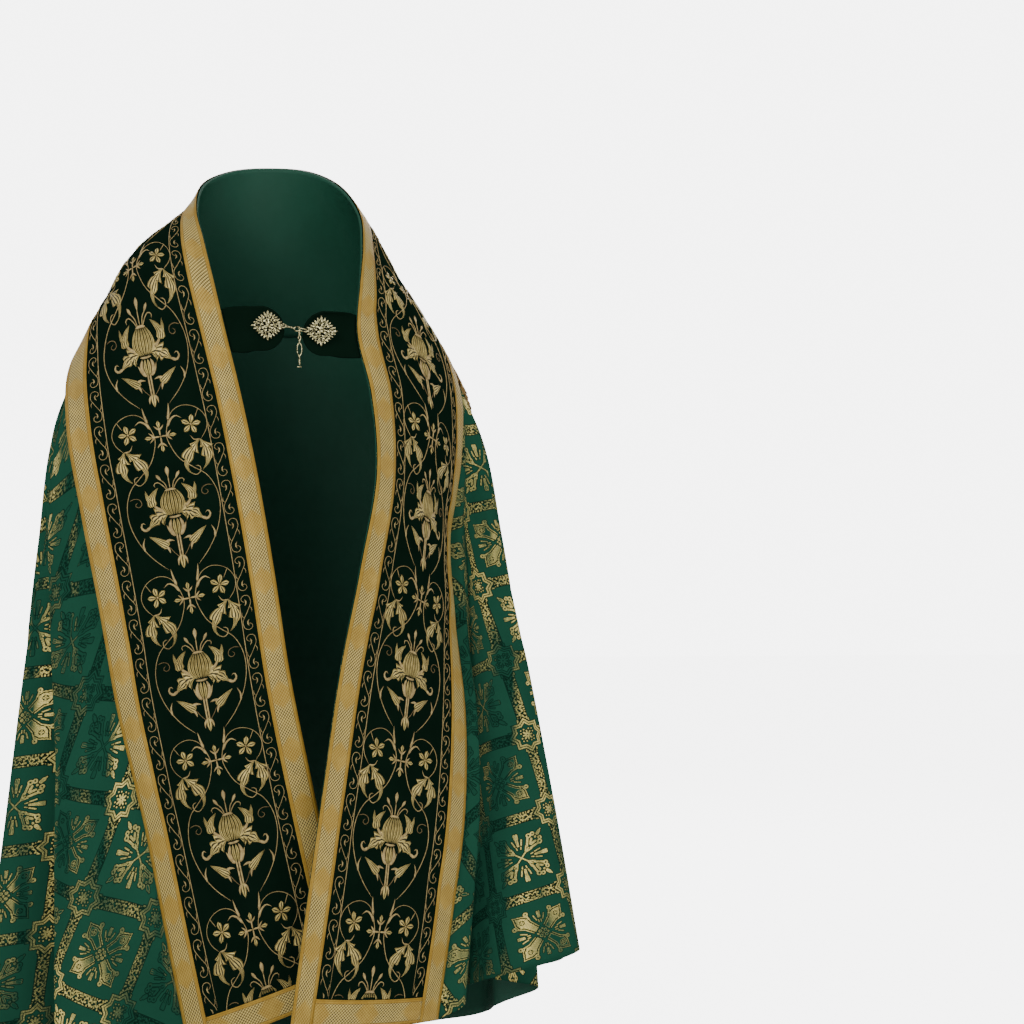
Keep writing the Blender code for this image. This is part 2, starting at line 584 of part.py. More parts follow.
def turned(name, middles, radii, finish, sides=8):
    """A closed round rod through the middles, with a radius at each."""
    middles = np.asarray(middles, float)
    course = np.gradient(middles, axis=0)
    course /= np.linalg.norm(course, axis=1, keepdims=True)
    mesh = bmesh.new()
    rings = []
    for middle, way, radius in zip(middles, course, radii):
        first = np.cross(way, (0.0, 1.0, 0.0))
        first /= np.linalg.norm(first)
        second = np.cross(way, first)
        turns = [2 * math.pi * k / sides for k in range(sides)]
        rings.append([
            mesh.verts.new(middle + radius * (math.cos(t) * first + math.sin(t) * second)) for t in turns
        ])
    for ring, after in zip(rings, rings[1:]):
        for k in range(sides):
            mesh.faces.new((ring[k], ring[(k + 1) % sides], after[(k + 1) % sides], after[k]))
    mesh.faces.new(rings[0][::-1])
    mesh.faces.new(rings[-1])
    bmesh.ops.recalc_face_normals(mesh, faces=mesh.faces)
    bmesh.ops.triangulate(mesh, faces=mesh.faces)
    made = add_mesh(name, [], [], finish)
    mesh.to_mesh(made.data)
    mesh.free()
    return made


def add_hook_and_chain():
    """The hook that joins the clasps, and the spare end of its chain, which hangs from the left clasp."""
    right, left = MORSES
    start = np.array([right.clasp_x + CLASP_WIDTH / 2 + 0.0006, HOOK_Y, right.clasp_z - 0.001])
    end = np.array([left.clasp_x - CLASP_WIDTH / 2 - 0.0006, HOOK_Y, left.clasp_z])
    shares = np.linspace(0, 1, 9)[:, None]
    middles = start * (1 - shares) + end * shares
    beads = [HOOK_THICK / 2 * (1.0 if k % 2 else 1.5) for k in range(9)]
    turned("morse_hook", middles, beads, "gilt")
    top = end + np.array([-0.008, 0.0, -HOOK_THICK * 1.1])
    drops = np.linspace(0, CHAIN_DROP, 15)
    middles = [top - np.array([0.0, 0.0, drop]) for drop in drops]
    beads = [HOOK_THICK / 2 * (0.75 if k % 2 else 1.35) for k in range(15)]
    turned("morse_chain", middles, beads, "gilt")


def build():
    for old in list(bpy.data.objects):
        bpy.data.objects.remove(old, do_unlink=True)
    surface = cloth()
    add_body(surface)
    add_bands(surface)
    add_collar_lining(surface)
    add_hood()
    add_fringe()
    add_morses()
    add_hook_and_chain()


build()
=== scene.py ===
"""A cope dressed for rendering: brocade cloak, velvet bands, braids, gold embroidery, fringed hood and morse.

Metres, +Z up, front towards -Y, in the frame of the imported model. The cloth is described in two zones. The
band zone lies under the velvet bands: `along` runs from the hem of the right front, behind the neck (0), to
the hem of the left front, and `across` from the inner to the outer edge. The skirt zone hangs from the
band's outer edge: `around` runs from the right front edge (-1) behind the back (0) to the left front edge
(1), and `down` from the band (0) to the hem (1). The hood has its own zone: `side` and `drop`.
"""

import functools
import math
from collections import namedtuple

import bpy
import numpy as np
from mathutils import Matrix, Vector


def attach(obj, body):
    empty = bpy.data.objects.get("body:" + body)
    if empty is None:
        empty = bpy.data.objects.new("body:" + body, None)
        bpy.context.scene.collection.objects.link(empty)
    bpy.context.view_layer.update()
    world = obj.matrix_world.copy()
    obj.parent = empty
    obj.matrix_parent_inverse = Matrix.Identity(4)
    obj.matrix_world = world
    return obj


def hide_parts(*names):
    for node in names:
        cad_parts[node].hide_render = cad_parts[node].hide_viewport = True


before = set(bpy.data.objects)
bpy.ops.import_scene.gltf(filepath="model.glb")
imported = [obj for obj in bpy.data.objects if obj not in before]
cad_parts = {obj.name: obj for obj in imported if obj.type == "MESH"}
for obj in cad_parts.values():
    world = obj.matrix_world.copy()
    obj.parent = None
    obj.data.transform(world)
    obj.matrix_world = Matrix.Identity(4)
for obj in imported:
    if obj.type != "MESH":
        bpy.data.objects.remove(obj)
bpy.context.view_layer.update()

# ---------------------------------------------------------------- camera
VIEW_DISTANCE = 4.1
VIEW_HEIGHT = -0.4455
VIEW_YAW = math.radians(5.16)  # the cope stands left of the view's middle
LENS = 93.75

# ---------------------------------------------------------------- the cope's sizes
CUT_RADIUS = 1.40  # the cloak is cut as a half circle
BAND_WIDTH = 0.26
BRAID_WIDTH = 0.036
BAND_LENGTH = 1.40  # from behind the neck to the hem of one front
SHOULDER_REACH = 0.34  # from behind the neck to where the back of the cloak ends and a front begins
SKIRT_LENGTH = CUT_RADIUS - BAND_WIDTH
LINING_REACH = 0.559  # from behind the neck to each end of the neck lining

CLOTH_WALL = 0.0020
VELVET_WALL = 0.0014
BRAID_WALL = 0.0012
LINING_WALL = 0.0010
SEAM_GAP = 0.0003
VELVET_TOP = SEAM_GAP + VELVET_WALL
BRAID_FOOT = VELVET_TOP + SEAM_GAP

HOOD_HALF_WIDTH = 0.300
HOOD_DROP = 0.530
HOOD_CORNER = 0.150
HOOD_TOP = 0.0045  # how far below the band the hood begins
HOOD_LIFT = (0.0050, 0.0130)  # how far it stands off the cloak at its top and at its foot
HOOD_SIDE_LIFT = 0.009  # how much further its sides stand off
FRINGE_DROP = 0.038
FRINGE_STRIP = 0.007  # the strip that the strands are sewn on
FRINGE_SPACING = 0.00145
STRAND_THICK = 0.0021

TAB_HEIGHT = 0.064
TAB_WALL = 0.0030
TAB_EDGE = 0.0008  # how much lower the face is at the edge
CLASP_WIDTH = 0.050
CLASP_HEIGHT = 0.046
HOOK_Y = -0.168
CHAIN_DROP = 0.056

# ---------------------------------------------------------------- tables that place the cloth
Station = namedtuple("Station", "along inner middle outer")
NAPE = Station(0.00, (0.000, 0.088, 0.092), (0.000, 0.130, -0.036), (0.000, 0.178, -0.165))
RIGHT_BAND = [Station(*row) for row in (
    (0.07, (-0.062, 0.070, 0.084), (-0.066, 0.122, -0.038), (-0.070, 0.175, -0.166)),
    (0.14, (-0.105, 0.022, 0.056), (-0.125, 0.095, -0.038), (-0.140, 0.160, -0.167)),
    (0.20, (-0.112, -0.035, 0.014), (-0.170, 0.052, -0.030), (-0.194, 0.137, -0.160)),
    (0.27, (-0.100, -0.085, -0.040), (-0.203, 0.002, -0.045), (-0.244, 0.088, -0.160)),
    (0.34, (-0.085, -0.118, -0.102), (-0.210, -0.060, -0.095), (-0.283, 0.035, -0.185)),
    (0.42, (-0.068, -0.145, -0.175), (-0.192, -0.115, -0.195), (-0.304, -0.028, -0.235)),
    (0.52, (-0.045, -0.168, -0.270), (-0.172, -0.156, -0.296), (-0.302, -0.092, -0.318)),
    (0.64, (-0.021, -0.185, -0.386), (-0.150, -0.186, -0.414), (-0.279, -0.138, -0.440)),
    (0.78, (0.003, -0.197, -0.524), (-0.125, -0.203, -0.552), (-0.251, -0.160, -0.580)),
    (0.94, (0.027, -0.203, -0.682), (-0.100, -0.212, -0.712), (-0.222, -0.170, -0.740)),
    (1.10, (0.058, -0.202, -0.835), (-0.070, -0.212, -0.868), (-0.184, -0.175, -0.900)),
    (1.25, (0.090, -0.197, -0.984), (-0.036, -0.209, -1.026), (-0.152, -0.174, -1.066)),
    (1.40, (0.124, -0.190, -1.140), (0.001, -0.205, -1.188), (-0.119, -0.170, -1.236)),
)]
LEFT_BAND = [Station(*row) for row in (
    (0.07, (0.062, 0.070, 0.084), (0.066, 0.122, -0.038), (0.070, 0.175, -0.166)),
    (0.14, (0.109, 0.022, 0.053), (0.128, 0.094, -0.040), (0.140, 0.160, -0.167)),
    (0.20, (0.133, -0.028, 0.010), (0.170, 0.050, -0.045), (0.196, 0.135, -0.160)),
    (0.27, (0.137, -0.072, -0.045), (0.192, 0.004, -0.082), (0.243, 0.088, -0.173)),
    (0.34, (0.132, -0.105, -0.105), (0.212, -0.040, -0.128), (0.273, 0.047, -0.210)),
    (0.42, (0.127, -0.136, -0.178), (0.226, -0.076, -0.198), (0.291, 0.012, -0.272)),
    (0.52, (0.146, -0.172, -0.270), (0.240, -0.094, -0.296), (0.290, 0.006, -0.368)),
    (0.64, (0.153, -0.205, -0.385), (0.235, -0.115, -0.418), (0.273, 0.006, -0.478)),
    (0.78, (0.130, -0.215, -0.522), (0.222, -0.142, -0.560), (0.278, -0.036, -0.610)),
    (0.94, (0.099, -0.226, -0.680), (0.203, -0.168, -0.715), (0.291, -0.078, -0.755)),
    (1.10, (0.074, -0.240, -0.850), (0.184, -0.196, -0.876), (0.287, -0.115, -0.905)),
    (1.25, (0.051, -0.252, -1.010), (0.163, -0.217, -1.030), (0.267, -0.138, -1.050)),
    (1.40, (0.027, -0.262, -1.185), (0.137, -0.235, -1.192), (0.244, -0.160, -1.197)),
)]
STATIONS = [row._replace(along=-row.along) for row in reversed(RIGHT_BAND)] + [NAPE] + LEFT_BAND
ALONGS = [row.along for row in STATIONS]

Level = namedtuple("Level", "down corner_r side_r back_r centre back_l side_l corner_l")
SKIRT_LEVELS = [Level(*row) for row in (
    (0.12, (-0.320, -0.005), (-0.325, 0.050), (-0.321, 0.128), (0, 0.187),
     (0.318, 0.128), (0.320, 0.075), (0.308, 0.040)),
    (0.28, (-0.318, -0.078), (-0.334, 0.035), (-0.333, 0.152), (0, 0.200),
     (0.333, 0.152), (0.342, 0.070), (0.316, 0.028)),
    (0.50, (-0.300, -0.115), (-0.350, 0.030), (-0.337, 0.184), (0, 0.220),
     (0.338, 0.184), (0.368, 0.060), (0.336, -0.020)),
    (0.75, (-0.285, -0.130), (-0.367, 0.035), (-0.339, 0.218), (0, 0.250),
     (0.341, 0.218), (0.394, 0.060), (0.350, -0.062)),
    (1.00, (-0.275, -0.140), (-0.388, 0.040), (-0.342, 0.256), (0, 0.285),
     (0.346, 0.256), (0.418, 0.060), (0.350, -0.100)),
)]
LEVEL_AROUND = (-1.0, -0.775, -0.535, -0.25, 0.0, 0.25, 0.535, 0.775, 1.0)
BACK_AROUND = 0.25  # how far round the back of the cloak ends and a front begins
# The hem's height at the same seven places as a level's
HEM_HEIGHT = (-1.252, -1.262, -1.285, -1.305, -1.265, -1.126, -1.150)

Fold = namedtuple("Fold", "place depth")
RIGHT_FOLDS = [Fold(*row) for row in (
    (0.00, 0.000), (0.32, 0.044), (0.42, -0.068), (0.56, 0.076), (0.66, -0.052),
    (0.745, 0.042), (0.82, -0.046), (0.89, 0.036), (0.95, -0.020), (1.00, 0.000),
)]
LEFT_FOLDS = [Fold(*row) for row in (
    (0.00, 0.000), (0.09, 0.010), (0.20, -0.050), (0.54, 0.068), (0.64, -0.054),
    (0.73, 0.044), (0.81, -0.046), (0.88, 0.038), (0.945, -0.022), (1.00, 0.000),
)]
FOLD_START = 0.07  # how far down the folds of both fronts begin
Wave = namedtuple("Wave", "middle reach depth")
BACK_WAVES = [Wave(*row) for row in (
    (-0.19, 0.055, 0.016), (-0.10, 0.060, -0.014), (-0.01, 0.060, 0.012),
    (0.08, 0.055, -0.013), (0.18, 0.060, 0.017),
)]
WAVE_START = 0.50  # how far down the waves of the back begin
FLAT_DOWN = 0.8  # how far down the folds are measured against the flat cut
FOLD_CREASE_GROWTH = 0.30  # how much further down a hollow between two folds has its full depth
FoldCrease = namedtuple("FoldCrease", "side place width depth start")
FOLD_CREASES = [FoldCrease(*row) for row in (
    ("right", 0.468, 0.016, -0.045, 0.16),
    ("right", 0.655, 0.018, -0.020, 0.25),
    ("right", 0.815, 0.016, -0.018, 0.30),
    ("left", 0.205, 0.016, -0.018, 0.22),
    ("left", 0.640, 0.018, -0.020, 0.25),
    ("left", 0.810, 0.016, -0.018, 0.30),
)]

Morse = namedtuple("Morse", "side height tip_x tip_y clasp_x clasp_z")
MORSES = [Morse(*row) for row in (
    ("right", -0.177, 0.0195, -0.160, -0.005, -0.171),
    ("left", -0.184, 0.0460, -0.160, 0.0735, -0.179),
)]

# Each row is one crease of the cloth: where it starts and ends on the flat cut, measured from the middle of
# the neck (x along the straight edge, y down the back), then its half width and its depth (+ is a ridge).
Crease = namedtuple("Crease", "x0 y0 x1 y1 width depth")
CREASES = [Crease(*row) for row in (
    (-0.40, 0.30, -0.52, 0.62, 0.030, 0.0050),
    (-0.47, 0.31, -0.66, 0.60, 0.024, -0.0055),
    (-0.58, 0.30, -0.83, 0.52, 0.028, 0.0045),
    (-0.74, 0.29, -1.00, 0.40, 0.020, -0.0040),
    (-0.95, 0.30, -1.22, 0.36, 0.022, 0.0040),
    (-0.36, 0.42, -0.40, 0.85, 0.034, -0.0050),
    (0.40, 0.30, 0.56, 0.55, 0.026, 0.0055),
    (0.48, 0.29, 0.74, 0.48, 0.022, -0.0060),
    (0.60, 0.28, 0.92, 0.40, 0.026, 0.0050),
    (0.80, 0.29, 1.10, 0.38, 0.022, -0.0045),
    (0.36, 0.42, 0.42, 0.88, 0.032, -0.0050),
    (0.50, 0.72, 0.66, 1.02, 0.030, 0.0050),
    (-0.56, 0.74, -0.74, 1.02, 0.028, 0.0050),
    (-0.14, 0.78, -0.18, 1.18, 0.036, 0.0050),
    (0.05, 0.84, 0.03, 1.25, 0.030, -0.0045),
    (0.22, 0.80, 0.26, 1.22, 0.034, 0.0050),
    (-0.27, 0.86, -0.34, 1.20, 0.026, -0.0045),
    (0.38, 0.02, 0.44, 0.16, 0.016, -0.0035),
    (0.50, 0.06, 0.60, 0.22, 0.022, 0.0035),
    (-0.50, 0.05, -0.58, 0.20, 0.022, 0.0030),
    (-0.36, 0.10, -0.30, 0.23, 0.022, -0.0035),
    (0.30, 0.08, 0.33, 0.22, 0.020, -0.0035),
    (-0.78, 0.04, -0.86, 0.22, 0.028, -0.0030),
    (0.82, 0.04, 0.76, 0.22, 0.028, 0.0030),
    (-1.12, 0.06, -1.06, 0.23, 0.030, 0.0028),
    (1.14, 0.05, 1.20, 0.22, 0.030, -0.0028),
)]
# The hood's creases, measured beside its middle and below its top edge.
HOOD_CREASES = [Crease(*row) for row in (
    (-0.27, 0.03, -0.19, 0.34, 0.030, 0.0030),
    (0.27, 0.04, 0.20, 0.30, 0.028, 0.0028),
    (-0.15, 0.40, 0.10, 0.47, 0.030, -0.0025),
    (0.24, 0.30, 0.12, 0.48, 0.026, -0.0022),
    (-0.24, 0.36, -0.20, 0.50, 0.022, 0.0022),
)]


# ---------------------------------------------------------------- curves and surfaces
def cell_of(knots, at):
    """Which step between two knots each place is in."""
    return np.clip(np.searchsorted(knots, at, side="right") - 1, 0, len(knots) - 2)


def through(knots, values, at):
    """A smooth curve through the values at the knots, read at each place in `at`."""
    values, at = np.asarray(values, float), np.asarray(at, float)
    rows = np.broadcast_to(values, at.shape + values.shape)
    return through_each(knots, rows, at)


def through_each(knots, rows, at):
    """As `through`, but each place has its own row of values."""
    knots, at = np.asarray(knots, float), np.asarray(at, float)
    axis = at.ndim
    slopes = np.gradient(rows, knots, axis=axis)
    cell = cell_of(knots, at)
    width = knots[cell + 1] - knots[cell]
    t = (at - knots[cell]) / width
    spread = t.shape + (1,) * (rows.ndim - axis)

    def pick(table, index):
        index = np.broadcast_to(index.reshape(spread), t.shape + (1,) + rows.shape[axis + 1 :])
        return np.take_along_axis(table, index, axis)

    here, after = pick(rows, cell), pick(rows, cell + 1)
    slope, next_slope = pick(slopes, cell), pick(slopes, cell + 1)
    t, width = t.reshape(spread), width.reshape(spread)
    curve = (
        (2 * t**3 - 3 * t**2 + 1) * here
        + (t**3 - 2 * t**2 + t) * width * slope
        + (3 * t**2 - 2 * t**3) * after
        + (t**3 - t**2) * width * next_slope
    )
    return np.squeeze(curve, axis=axis)


def ease(t):
    t = np.clip(t, 0, 1)
    return t * t * (3 - 2 * t)


def unit(vectors):
    return vectors / np.maximum(np.linalg.norm(vectors, axis=-1, keepdims=True), 1e-12)


def band_point(along, across):
    """The band zone: round curves across it, through the inner, middle and outer point of each station."""
    inner, middle, outer = (
        through(ALONGS, [getattr(row, edge) for row in STATIONS], along)
        for edge in ("inner", "middle", "outer")
    )
    t = (np.asarray(across, float) / BAND_WIDTH)[..., None]
    return inner * (1 - t) * (1 - 2 * t) + middle * 4 * t * (1 - t) + outer * t * (2 * t - 1)


def outer_edge(along):
    return band_point(along, np.full(np.shape(along), BAND_WIDTH))


def front_along(down):
    return SHOULDER_REACH + np.asarray(down, float) * (BAND_LENGTH - SHOULDER_REACH)


def top_along(around):
    return np.clip(np.asarray(around, float) / BACK_AROUND, -1, 1) * SHOULDER_REACH


def skirt_base(around, down):
    """The skirt zone without its folds: through the band's outer edge, the plan's levels and both fronts."""
    top = outer_edge(top_along(np.array(LEVEL_AROUND[1:-1])))
    levels = np.array([list(row[1:]) for row in SKIRT_LEVELS])
    plans = np.concatenate([top[None, :, :2], levels])
    downs = [0.0] + [row.down for row in SKIRT_LEVELS]
    plan = through(downs, plans, down)
    height = top[None, :, 2] + (np.array(HEM_HEIGHT) - top[:, 2])[None, :] * down[:, None]
    keys = np.concatenate([plan, height[:, :, None]], axis=2)
    right, left = outer_edge(-front_along(down)), outer_edge(front_along(down))
    keys = np.concatenate([right[:, None], keys, left[:, None]], axis=1)
    row = through_each(LEVEL_AROUND, keys, around)
    ends = [outer_edge(np.array([side * SHOULDER_REACH])) for side in (-1, 1)]
    flat = np.concatenate([ends[0], top, ends[1]])
    miss = outer_edge(top_along(around)) - through(LEVEL_AROUND, flat, around)
    return row + miss * ((1 - down) ** 4)[:, None]


def fold_offset(around, down):
    """How far the fronts' folds and the back's waves move the cloth out."""
    place = (1 - np.abs(around)) / (1 - BACK_AROUND)
    offset = np.zeros(len(around))
    for folds, here in ((RIGHT_FOLDS, around < 0), (LEFT_FOLDS, around >= 0)):
        places, depths = np.array([f.place for f in folds]), np.array([f.depth for f in folds])
        cell = cell_of(places, place)
        t = ease((place - places[cell]) / (places[cell + 1] - places[cell]))
        side = depths[cell] * (1 - t) + depths[cell + 1] * t
        offset = np.where(here & (place < 1), side, offset)
    offset = offset * np.clip((down - FOLD_START) / (1 - FOLD_START), 0, 1)
    growth = ease((down - WAVE_START) / (1 - WAVE_START))
    for wave in BACK_WAVES:
        near = np.clip(1 - np.abs(around - wave.middle) / wave.reach, 0, 1)
        offset = offset + wave.depth * ease(near) * growth
    return offset


def fold_crease(around, down):
    """The sharp hollows between the folds, which deepen towards the hem."""
    place = (1 - np.abs(around)) / (1 - BACK_AROUND)
    total = np.zeros(len(around))
    for row in FOLD_CREASES:
        off = (place - row.place) / row.width
        start = np.clip((down - row.start) / FOLD_CREASE_GROWTH, 0, 1)
        here = (around > 0) == (row.side == "left")
        total += np.where(here, row.depth * np.exp(-(off**2)) * ease(start), 0)
    return total


def skirt_point(around, down):
    """The skirt zone with its folds, which move it level, square to the way round."""
    step = 1e-3
    course = skirt_base(np.minimum(around + step, 1), down) - skirt_base(np.maximum(around - step, -1), down)
    out = unit(np.stack([-course[:, 1], course[:, 0]], axis=1))
    points = skirt_base(around, down)
    points[:, :2] += out * (fold_offset(around, down) + fold_crease(around, down))[:, None]
    return points


def flat_share(around):
    """How far round the fan of the flat cut a place is. What the folds can't hold is lost in the hollows."""
    places = np.linspace(0, 1, 501)
    fan = (1 - np.abs(around)) / (1 - BACK_AROUND)
    found = np.ones(len(around))
    for side in (-1, 1):
        arounds, down = side * (1 - places * (1 - BACK_AROUND)), np.full(len(places), FLAT_DOWN)
        steps_long = np.linalg.norm(np.diff(skirt_point(arounds, down), axis=0), axis=1)
        hollow = np.clip(-fold_offset(arounds, down), 0, None)[1:] * steps_long
        shares = steps_long / (FLAT_DOWN * SKIRT_LENGTH * math.pi / 2)
        shares += (1 - shares.sum()) * hollow / hollow.sum()
        here = (around * side > 0) & (fan < 1)
        found = np.where(here, np.interp(fan, places, np.append(0, shares.cumsum())), found)
    return found


def skirt_flat(around, down):
    """Where a place of the skirt is on the flat cut, measured from the middle of the neck."""
    side = np.sign(around)
    angle = np.radians(90) * flat_share(around)
    x0, y0 = top_along(np.abs(around)), BAND_WIDTH
    way_x, way_y = np.cos(angle), np.sin(angle)
    reach = x0 * way_x + y0 * way_y
    length = -reach + np.sqrt(reach**2 + CUT_RADIUS**2 - x0**2 - y0**2)
    return np.stack([side * (x0 + way_x * length * down), y0 + way_y * length * down], axis=1)


def crease_depth(flat, creases):
    """How far all creases together move the cloth out at each flat place. Each is shallower at its ends."""
    depth = np.zeros(len(flat))
    for row in creases:
        start, end = np.array([row.x0, row.y0]), np.array([row.x1, row.y1])
        way = end - start
        share = np.clip((flat - start) @ way / (way @ way), 0, 1)
        off = np.linalg.norm(flat - start - share[:, None] * way, axis=1) / row.width
        depth += row.depth * np.exp(-(off**2)) * (0.55 + 0.45 * np.sin(np.pi * share))
    return depth


def grid(us, vs):
    """Both coordinates of every place of a grid, and the table of the places' numbers."""
    u, v = (k.ravel() for k in np.meshgrid(us, vs, indexing="ij"))
    return u, v, np.arange(len(u)).reshape(len(us), len(vs))


def grid_quads(index):
    a, b, c, d = index[:-1, :-1], index[1:, :-1], index[1:, 1:], index[:-1, 1:]
    return np.stack([a, b, c, d], axis=-1).reshape(-1, 4)


def point_normals(points, quads):
    """The mean way out at each point, from all quads round it."""
    a, b, c, d = (points[quads[:, k]] for k in range(4))
    across = np.cross(c - a, d - b)
    total = np.zeros_like(points)
    for k in range(4):
        np.add.at(total, quads[:, k], across)
    return unit(total)


class Surface:
    """A surface sampled on a grid of its own two coordinates, read in between by blending."""

    def __init__(self, us, vs, make, creases):
        self.us, self.vs = us, vs
        u, v, index = grid(us, vs)
        points, quads = make(u, v), grid_quads(index)
        depth = crease_depth(np.stack([u, v], axis=1), creases)
        points = points + point_normals(points, quads) * depth[:, None]
        self.points = points.reshape(len(us), len(vs), 3)
        self.normals = point_normals(points, quads).reshape(len(us), len(vs), 3)

    def at(self, u, v, lift=0.0):
        u, v = np.asarray(u, float), np.asarray(v, float)
        i, j = cell_of(self.us, u), cell_of(self.vs, v)
        s = ((u - self.us[i]) / (self.us[i + 1] - self.us[i]))[..., None]
        t = ((v - self.vs[j]) / (self.vs[j + 1] - self.vs[j]))[..., None]

        def blend(table):
            near = table[i, j] * (1 - t) + table[i, j + 1] * t
            return near * (1 - s) + (table[i + 1, j] * (1 - t) + table[i + 1, j + 1] * t) * s

        return blend(self.points) + unit(blend(self.normals)) * np.asarray(lift, float)[..., None]

    def normal(self, u, v):
        return unit(self.at(u, v, np.ones(np.shape(u))) - self.at(u, v, np.zeros(np.shape(u))))


# ---------------------------------------------------------------- meshes
def add_object(name, data):
    made = bpy.data.objects.new(name, data)
    bpy.context.scene.collection.objects.link(made)
    return made


def outward(points, faces):
    """The faces of a closed shell, turned so that they point out of it."""
    a, b, c, d = (points[faces[:, k]] - points[0] for k in range(4))
    inside = (np.cross(a, b) * c).sum() + (np.cross(a, c) * d).sum()
    return faces if inside > 0 else faces[:, ::-1]


def capped_tube(rings, sides):
    """The faces of a tube of so many rings, closed at both ends; the number of sides is even."""
    index = np.arange(rings * sides).reshape(rings, sides)
    walls = grid_quads(np.concatenate([index, index[:, :1]], axis=1))
    fan = np.array([(0, k, k + 1, k + 2) for k in range(1, sides - 2, 2)])
    return np.concatenate([walls, fan, fan[:, ::-1] + (rings - 1) * sides])


def add_mesh(name, points, faces, finishes, uvs=None, kinds=None):
    """A mesh object at the origin. `uvs` holds a place for each point, and `kinds` a finish for each face."""
    points, faces = np.asarray(points, np.float32), np.asarray(faces, np.int32)
    kinds = np.zeros(len(faces), np.int32) if kinds is None else np.asarray(kinds, np.int32)
    kept = faces != np.roll(faces, 1, axis=1)  # where two corners of a face meet, one of them goes
    whole = kept.sum(axis=1) > 2
    faces, kept, kinds = faces[whole], kept[whole], kinds[whole]
    corners, counts = faces[kept], kept.sum(axis=1).astype(np.int32)
    mesh = bpy.data.meshes.new(name)
    mesh.vertices.add(len(points))
    mesh.vertices.foreach_set("co", points.ravel())
    mesh.loops.add(len(corners))
    mesh.loops.foreach_set("vertex_index", corners)
    mesh.polygons.add(len(faces))
    mesh.polygons.foreach_set("loop_start", np.concatenate([[0], np.cumsum(counts)[:-1]]).astype(np.int32))
    mesh.polygons.foreach_set("loop_total", counts)
    if uvs is not None:
        layer = mesh.uv_layers.new(name="cloth")
        layer.data.foreach_set("uv", np.asarray(uvs, np.float32)[corners].ravel())
    mesh.polygons.foreach_set("material_index", kinds)
    mesh.update(calc_edges=True)
    mesh.validate()
    for finish in finishes:
        mesh.materials.append(finish)
    mesh.shade_smooth()
    return add_object(name, mesh)


def add_wall(name, points, normals, quads, low, high, finishes, uvs):
    """A closed wall over an open surface; its inner side and edge take the second finish, if there is one."""
    n = len(points)
    low, high = (np.broadcast_to(np.asarray(level, float), n)[:, None] for level in (low, high))
    both = np.concatenate([points + normals * high, points + normals * low])
    edges = np.concatenate([quads[:, [k, (k + 1) % 4]] for k in range(4)])
    codes, mirrored = edges[:, 0] * n + edges[:, 1], edges[:, 1] * n + edges[:, 0]
    rim = edges[~np.isin(codes, mirrored)]
    sides = np.stack([rim[:, 1], rim[:, 0], rim[:, 0] + n, rim[:, 1] + n], axis=1)
    faces = np.concatenate([quads, quads[:, ::-1] + n, sides])
    kinds = np.zeros(len(faces), int)
    kinds[len(quads) :] = len(finishes) - 1
    return add_mesh(name, both, faces, finishes, np.concatenate([uvs, uvs]), kinds)


def add_patch(name, surface, us, vs, low, high, finish, uv=None):
    """A closed wall over a rectangle of a surface's own coordinates."""
    u, v, index = grid(us, vs)
    uvs = np.stack([u, v], axis=1) if uv is None else uv(u, v)
    return add_wall(name, surface.at(u, v), surface.normal(u, v), grid_quads(index), low, high, [finish], uvs)


def path_lengths(points):
    """How far along a path each of its points is."""
    return np.concatenate([[0], np.cumsum(np.linalg.norm(np.diff(points, axis=0), axis=1))])


def steps(start, end, size):
    """Even places from start to end, about `size` apart."""
    return np.linspace(start, end, max(2, int(round(abs(end - start) / size)) + 1))


# ---------------------------------------------------------------- materials
def feed(tree, socket, value):
    if isinstance(value, Field):
        tree.links.new(value.socket, socket)
    else:
        socket.default_value = value


def add_node(tree, kind, inputs=(), **settings):
    """A node with its settings, and values or fields for its inputs by their place or name."""
    node = tree.nodes.new(kind)
    for key, value in settings.items():
        setattr(node, key, value)
    for slot, value in inputs.items() if isinstance(inputs, dict) else enumerate(inputs):
        feed(tree, node.inputs[slot], value)
    return node


class Field:
    """A value in a material's nodes, so that a pattern can be written as a formula."""

    def __init__(self, tree, socket):
        self.tree, self.socket = tree, socket

    def math(self, kind, *others, clamp=False):
        """One step of arithmetic on this value and the others, which may be plain numbers."""
        node = add_node(self.tree, "ShaderNodeMath", (self, *others), operation=kind, use_clamp=clamp)
        return Field(self.tree, node.outputs[0])

    def __add__(self, other):
        return self.math("ADD", other)

    def __sub__(self, other):
        return self.math("SUBTRACT", other)

    def __rsub__(self, other):
        return (self * -1.0).math("ADD", other)

    def __mul__(self, other):
        return self.math("MULTIPLY", other)

    def __truediv__(self, other):
        return self.math("DIVIDE", other)

    __radd__, __rmul__ = __add__, __mul__

    def abs(self):
        return self.math("ABSOLUTE")

    def sin(self):
        return self.math("SINE")

    def fract(self):
        return self.math("FRACT")

    def least(self, *others):
        found = self
        for other in others:
            found = found.math("MINIMUM", other)
        return found

    def most(self, other):
        return self.math("MAXIMUM", other)

    def clamped(self, add=0.0):
        return self.math("ADD", add, clamp=True)

    def contrast(self, middle, gain, add=0.0):
        """The value's distance from the middle, made stronger and kept between 0 and 1."""
        return ((self - middle) * gain).clamped(add)

    def within(self, soft):
        """1 where the value is below 0, 0 where it is above `soft`."""
        return (1.0 - self / soft).clamped()

    def wave(self, pitch):
        """Threads or ribs so far apart, from -1 to 1."""
        return (self * (2 * math.pi / pitch)).sin()

    def cords(self, pitch):
        """The same from 0 to 1."""
        return self.wave(pitch) * 0.5 + 0.5


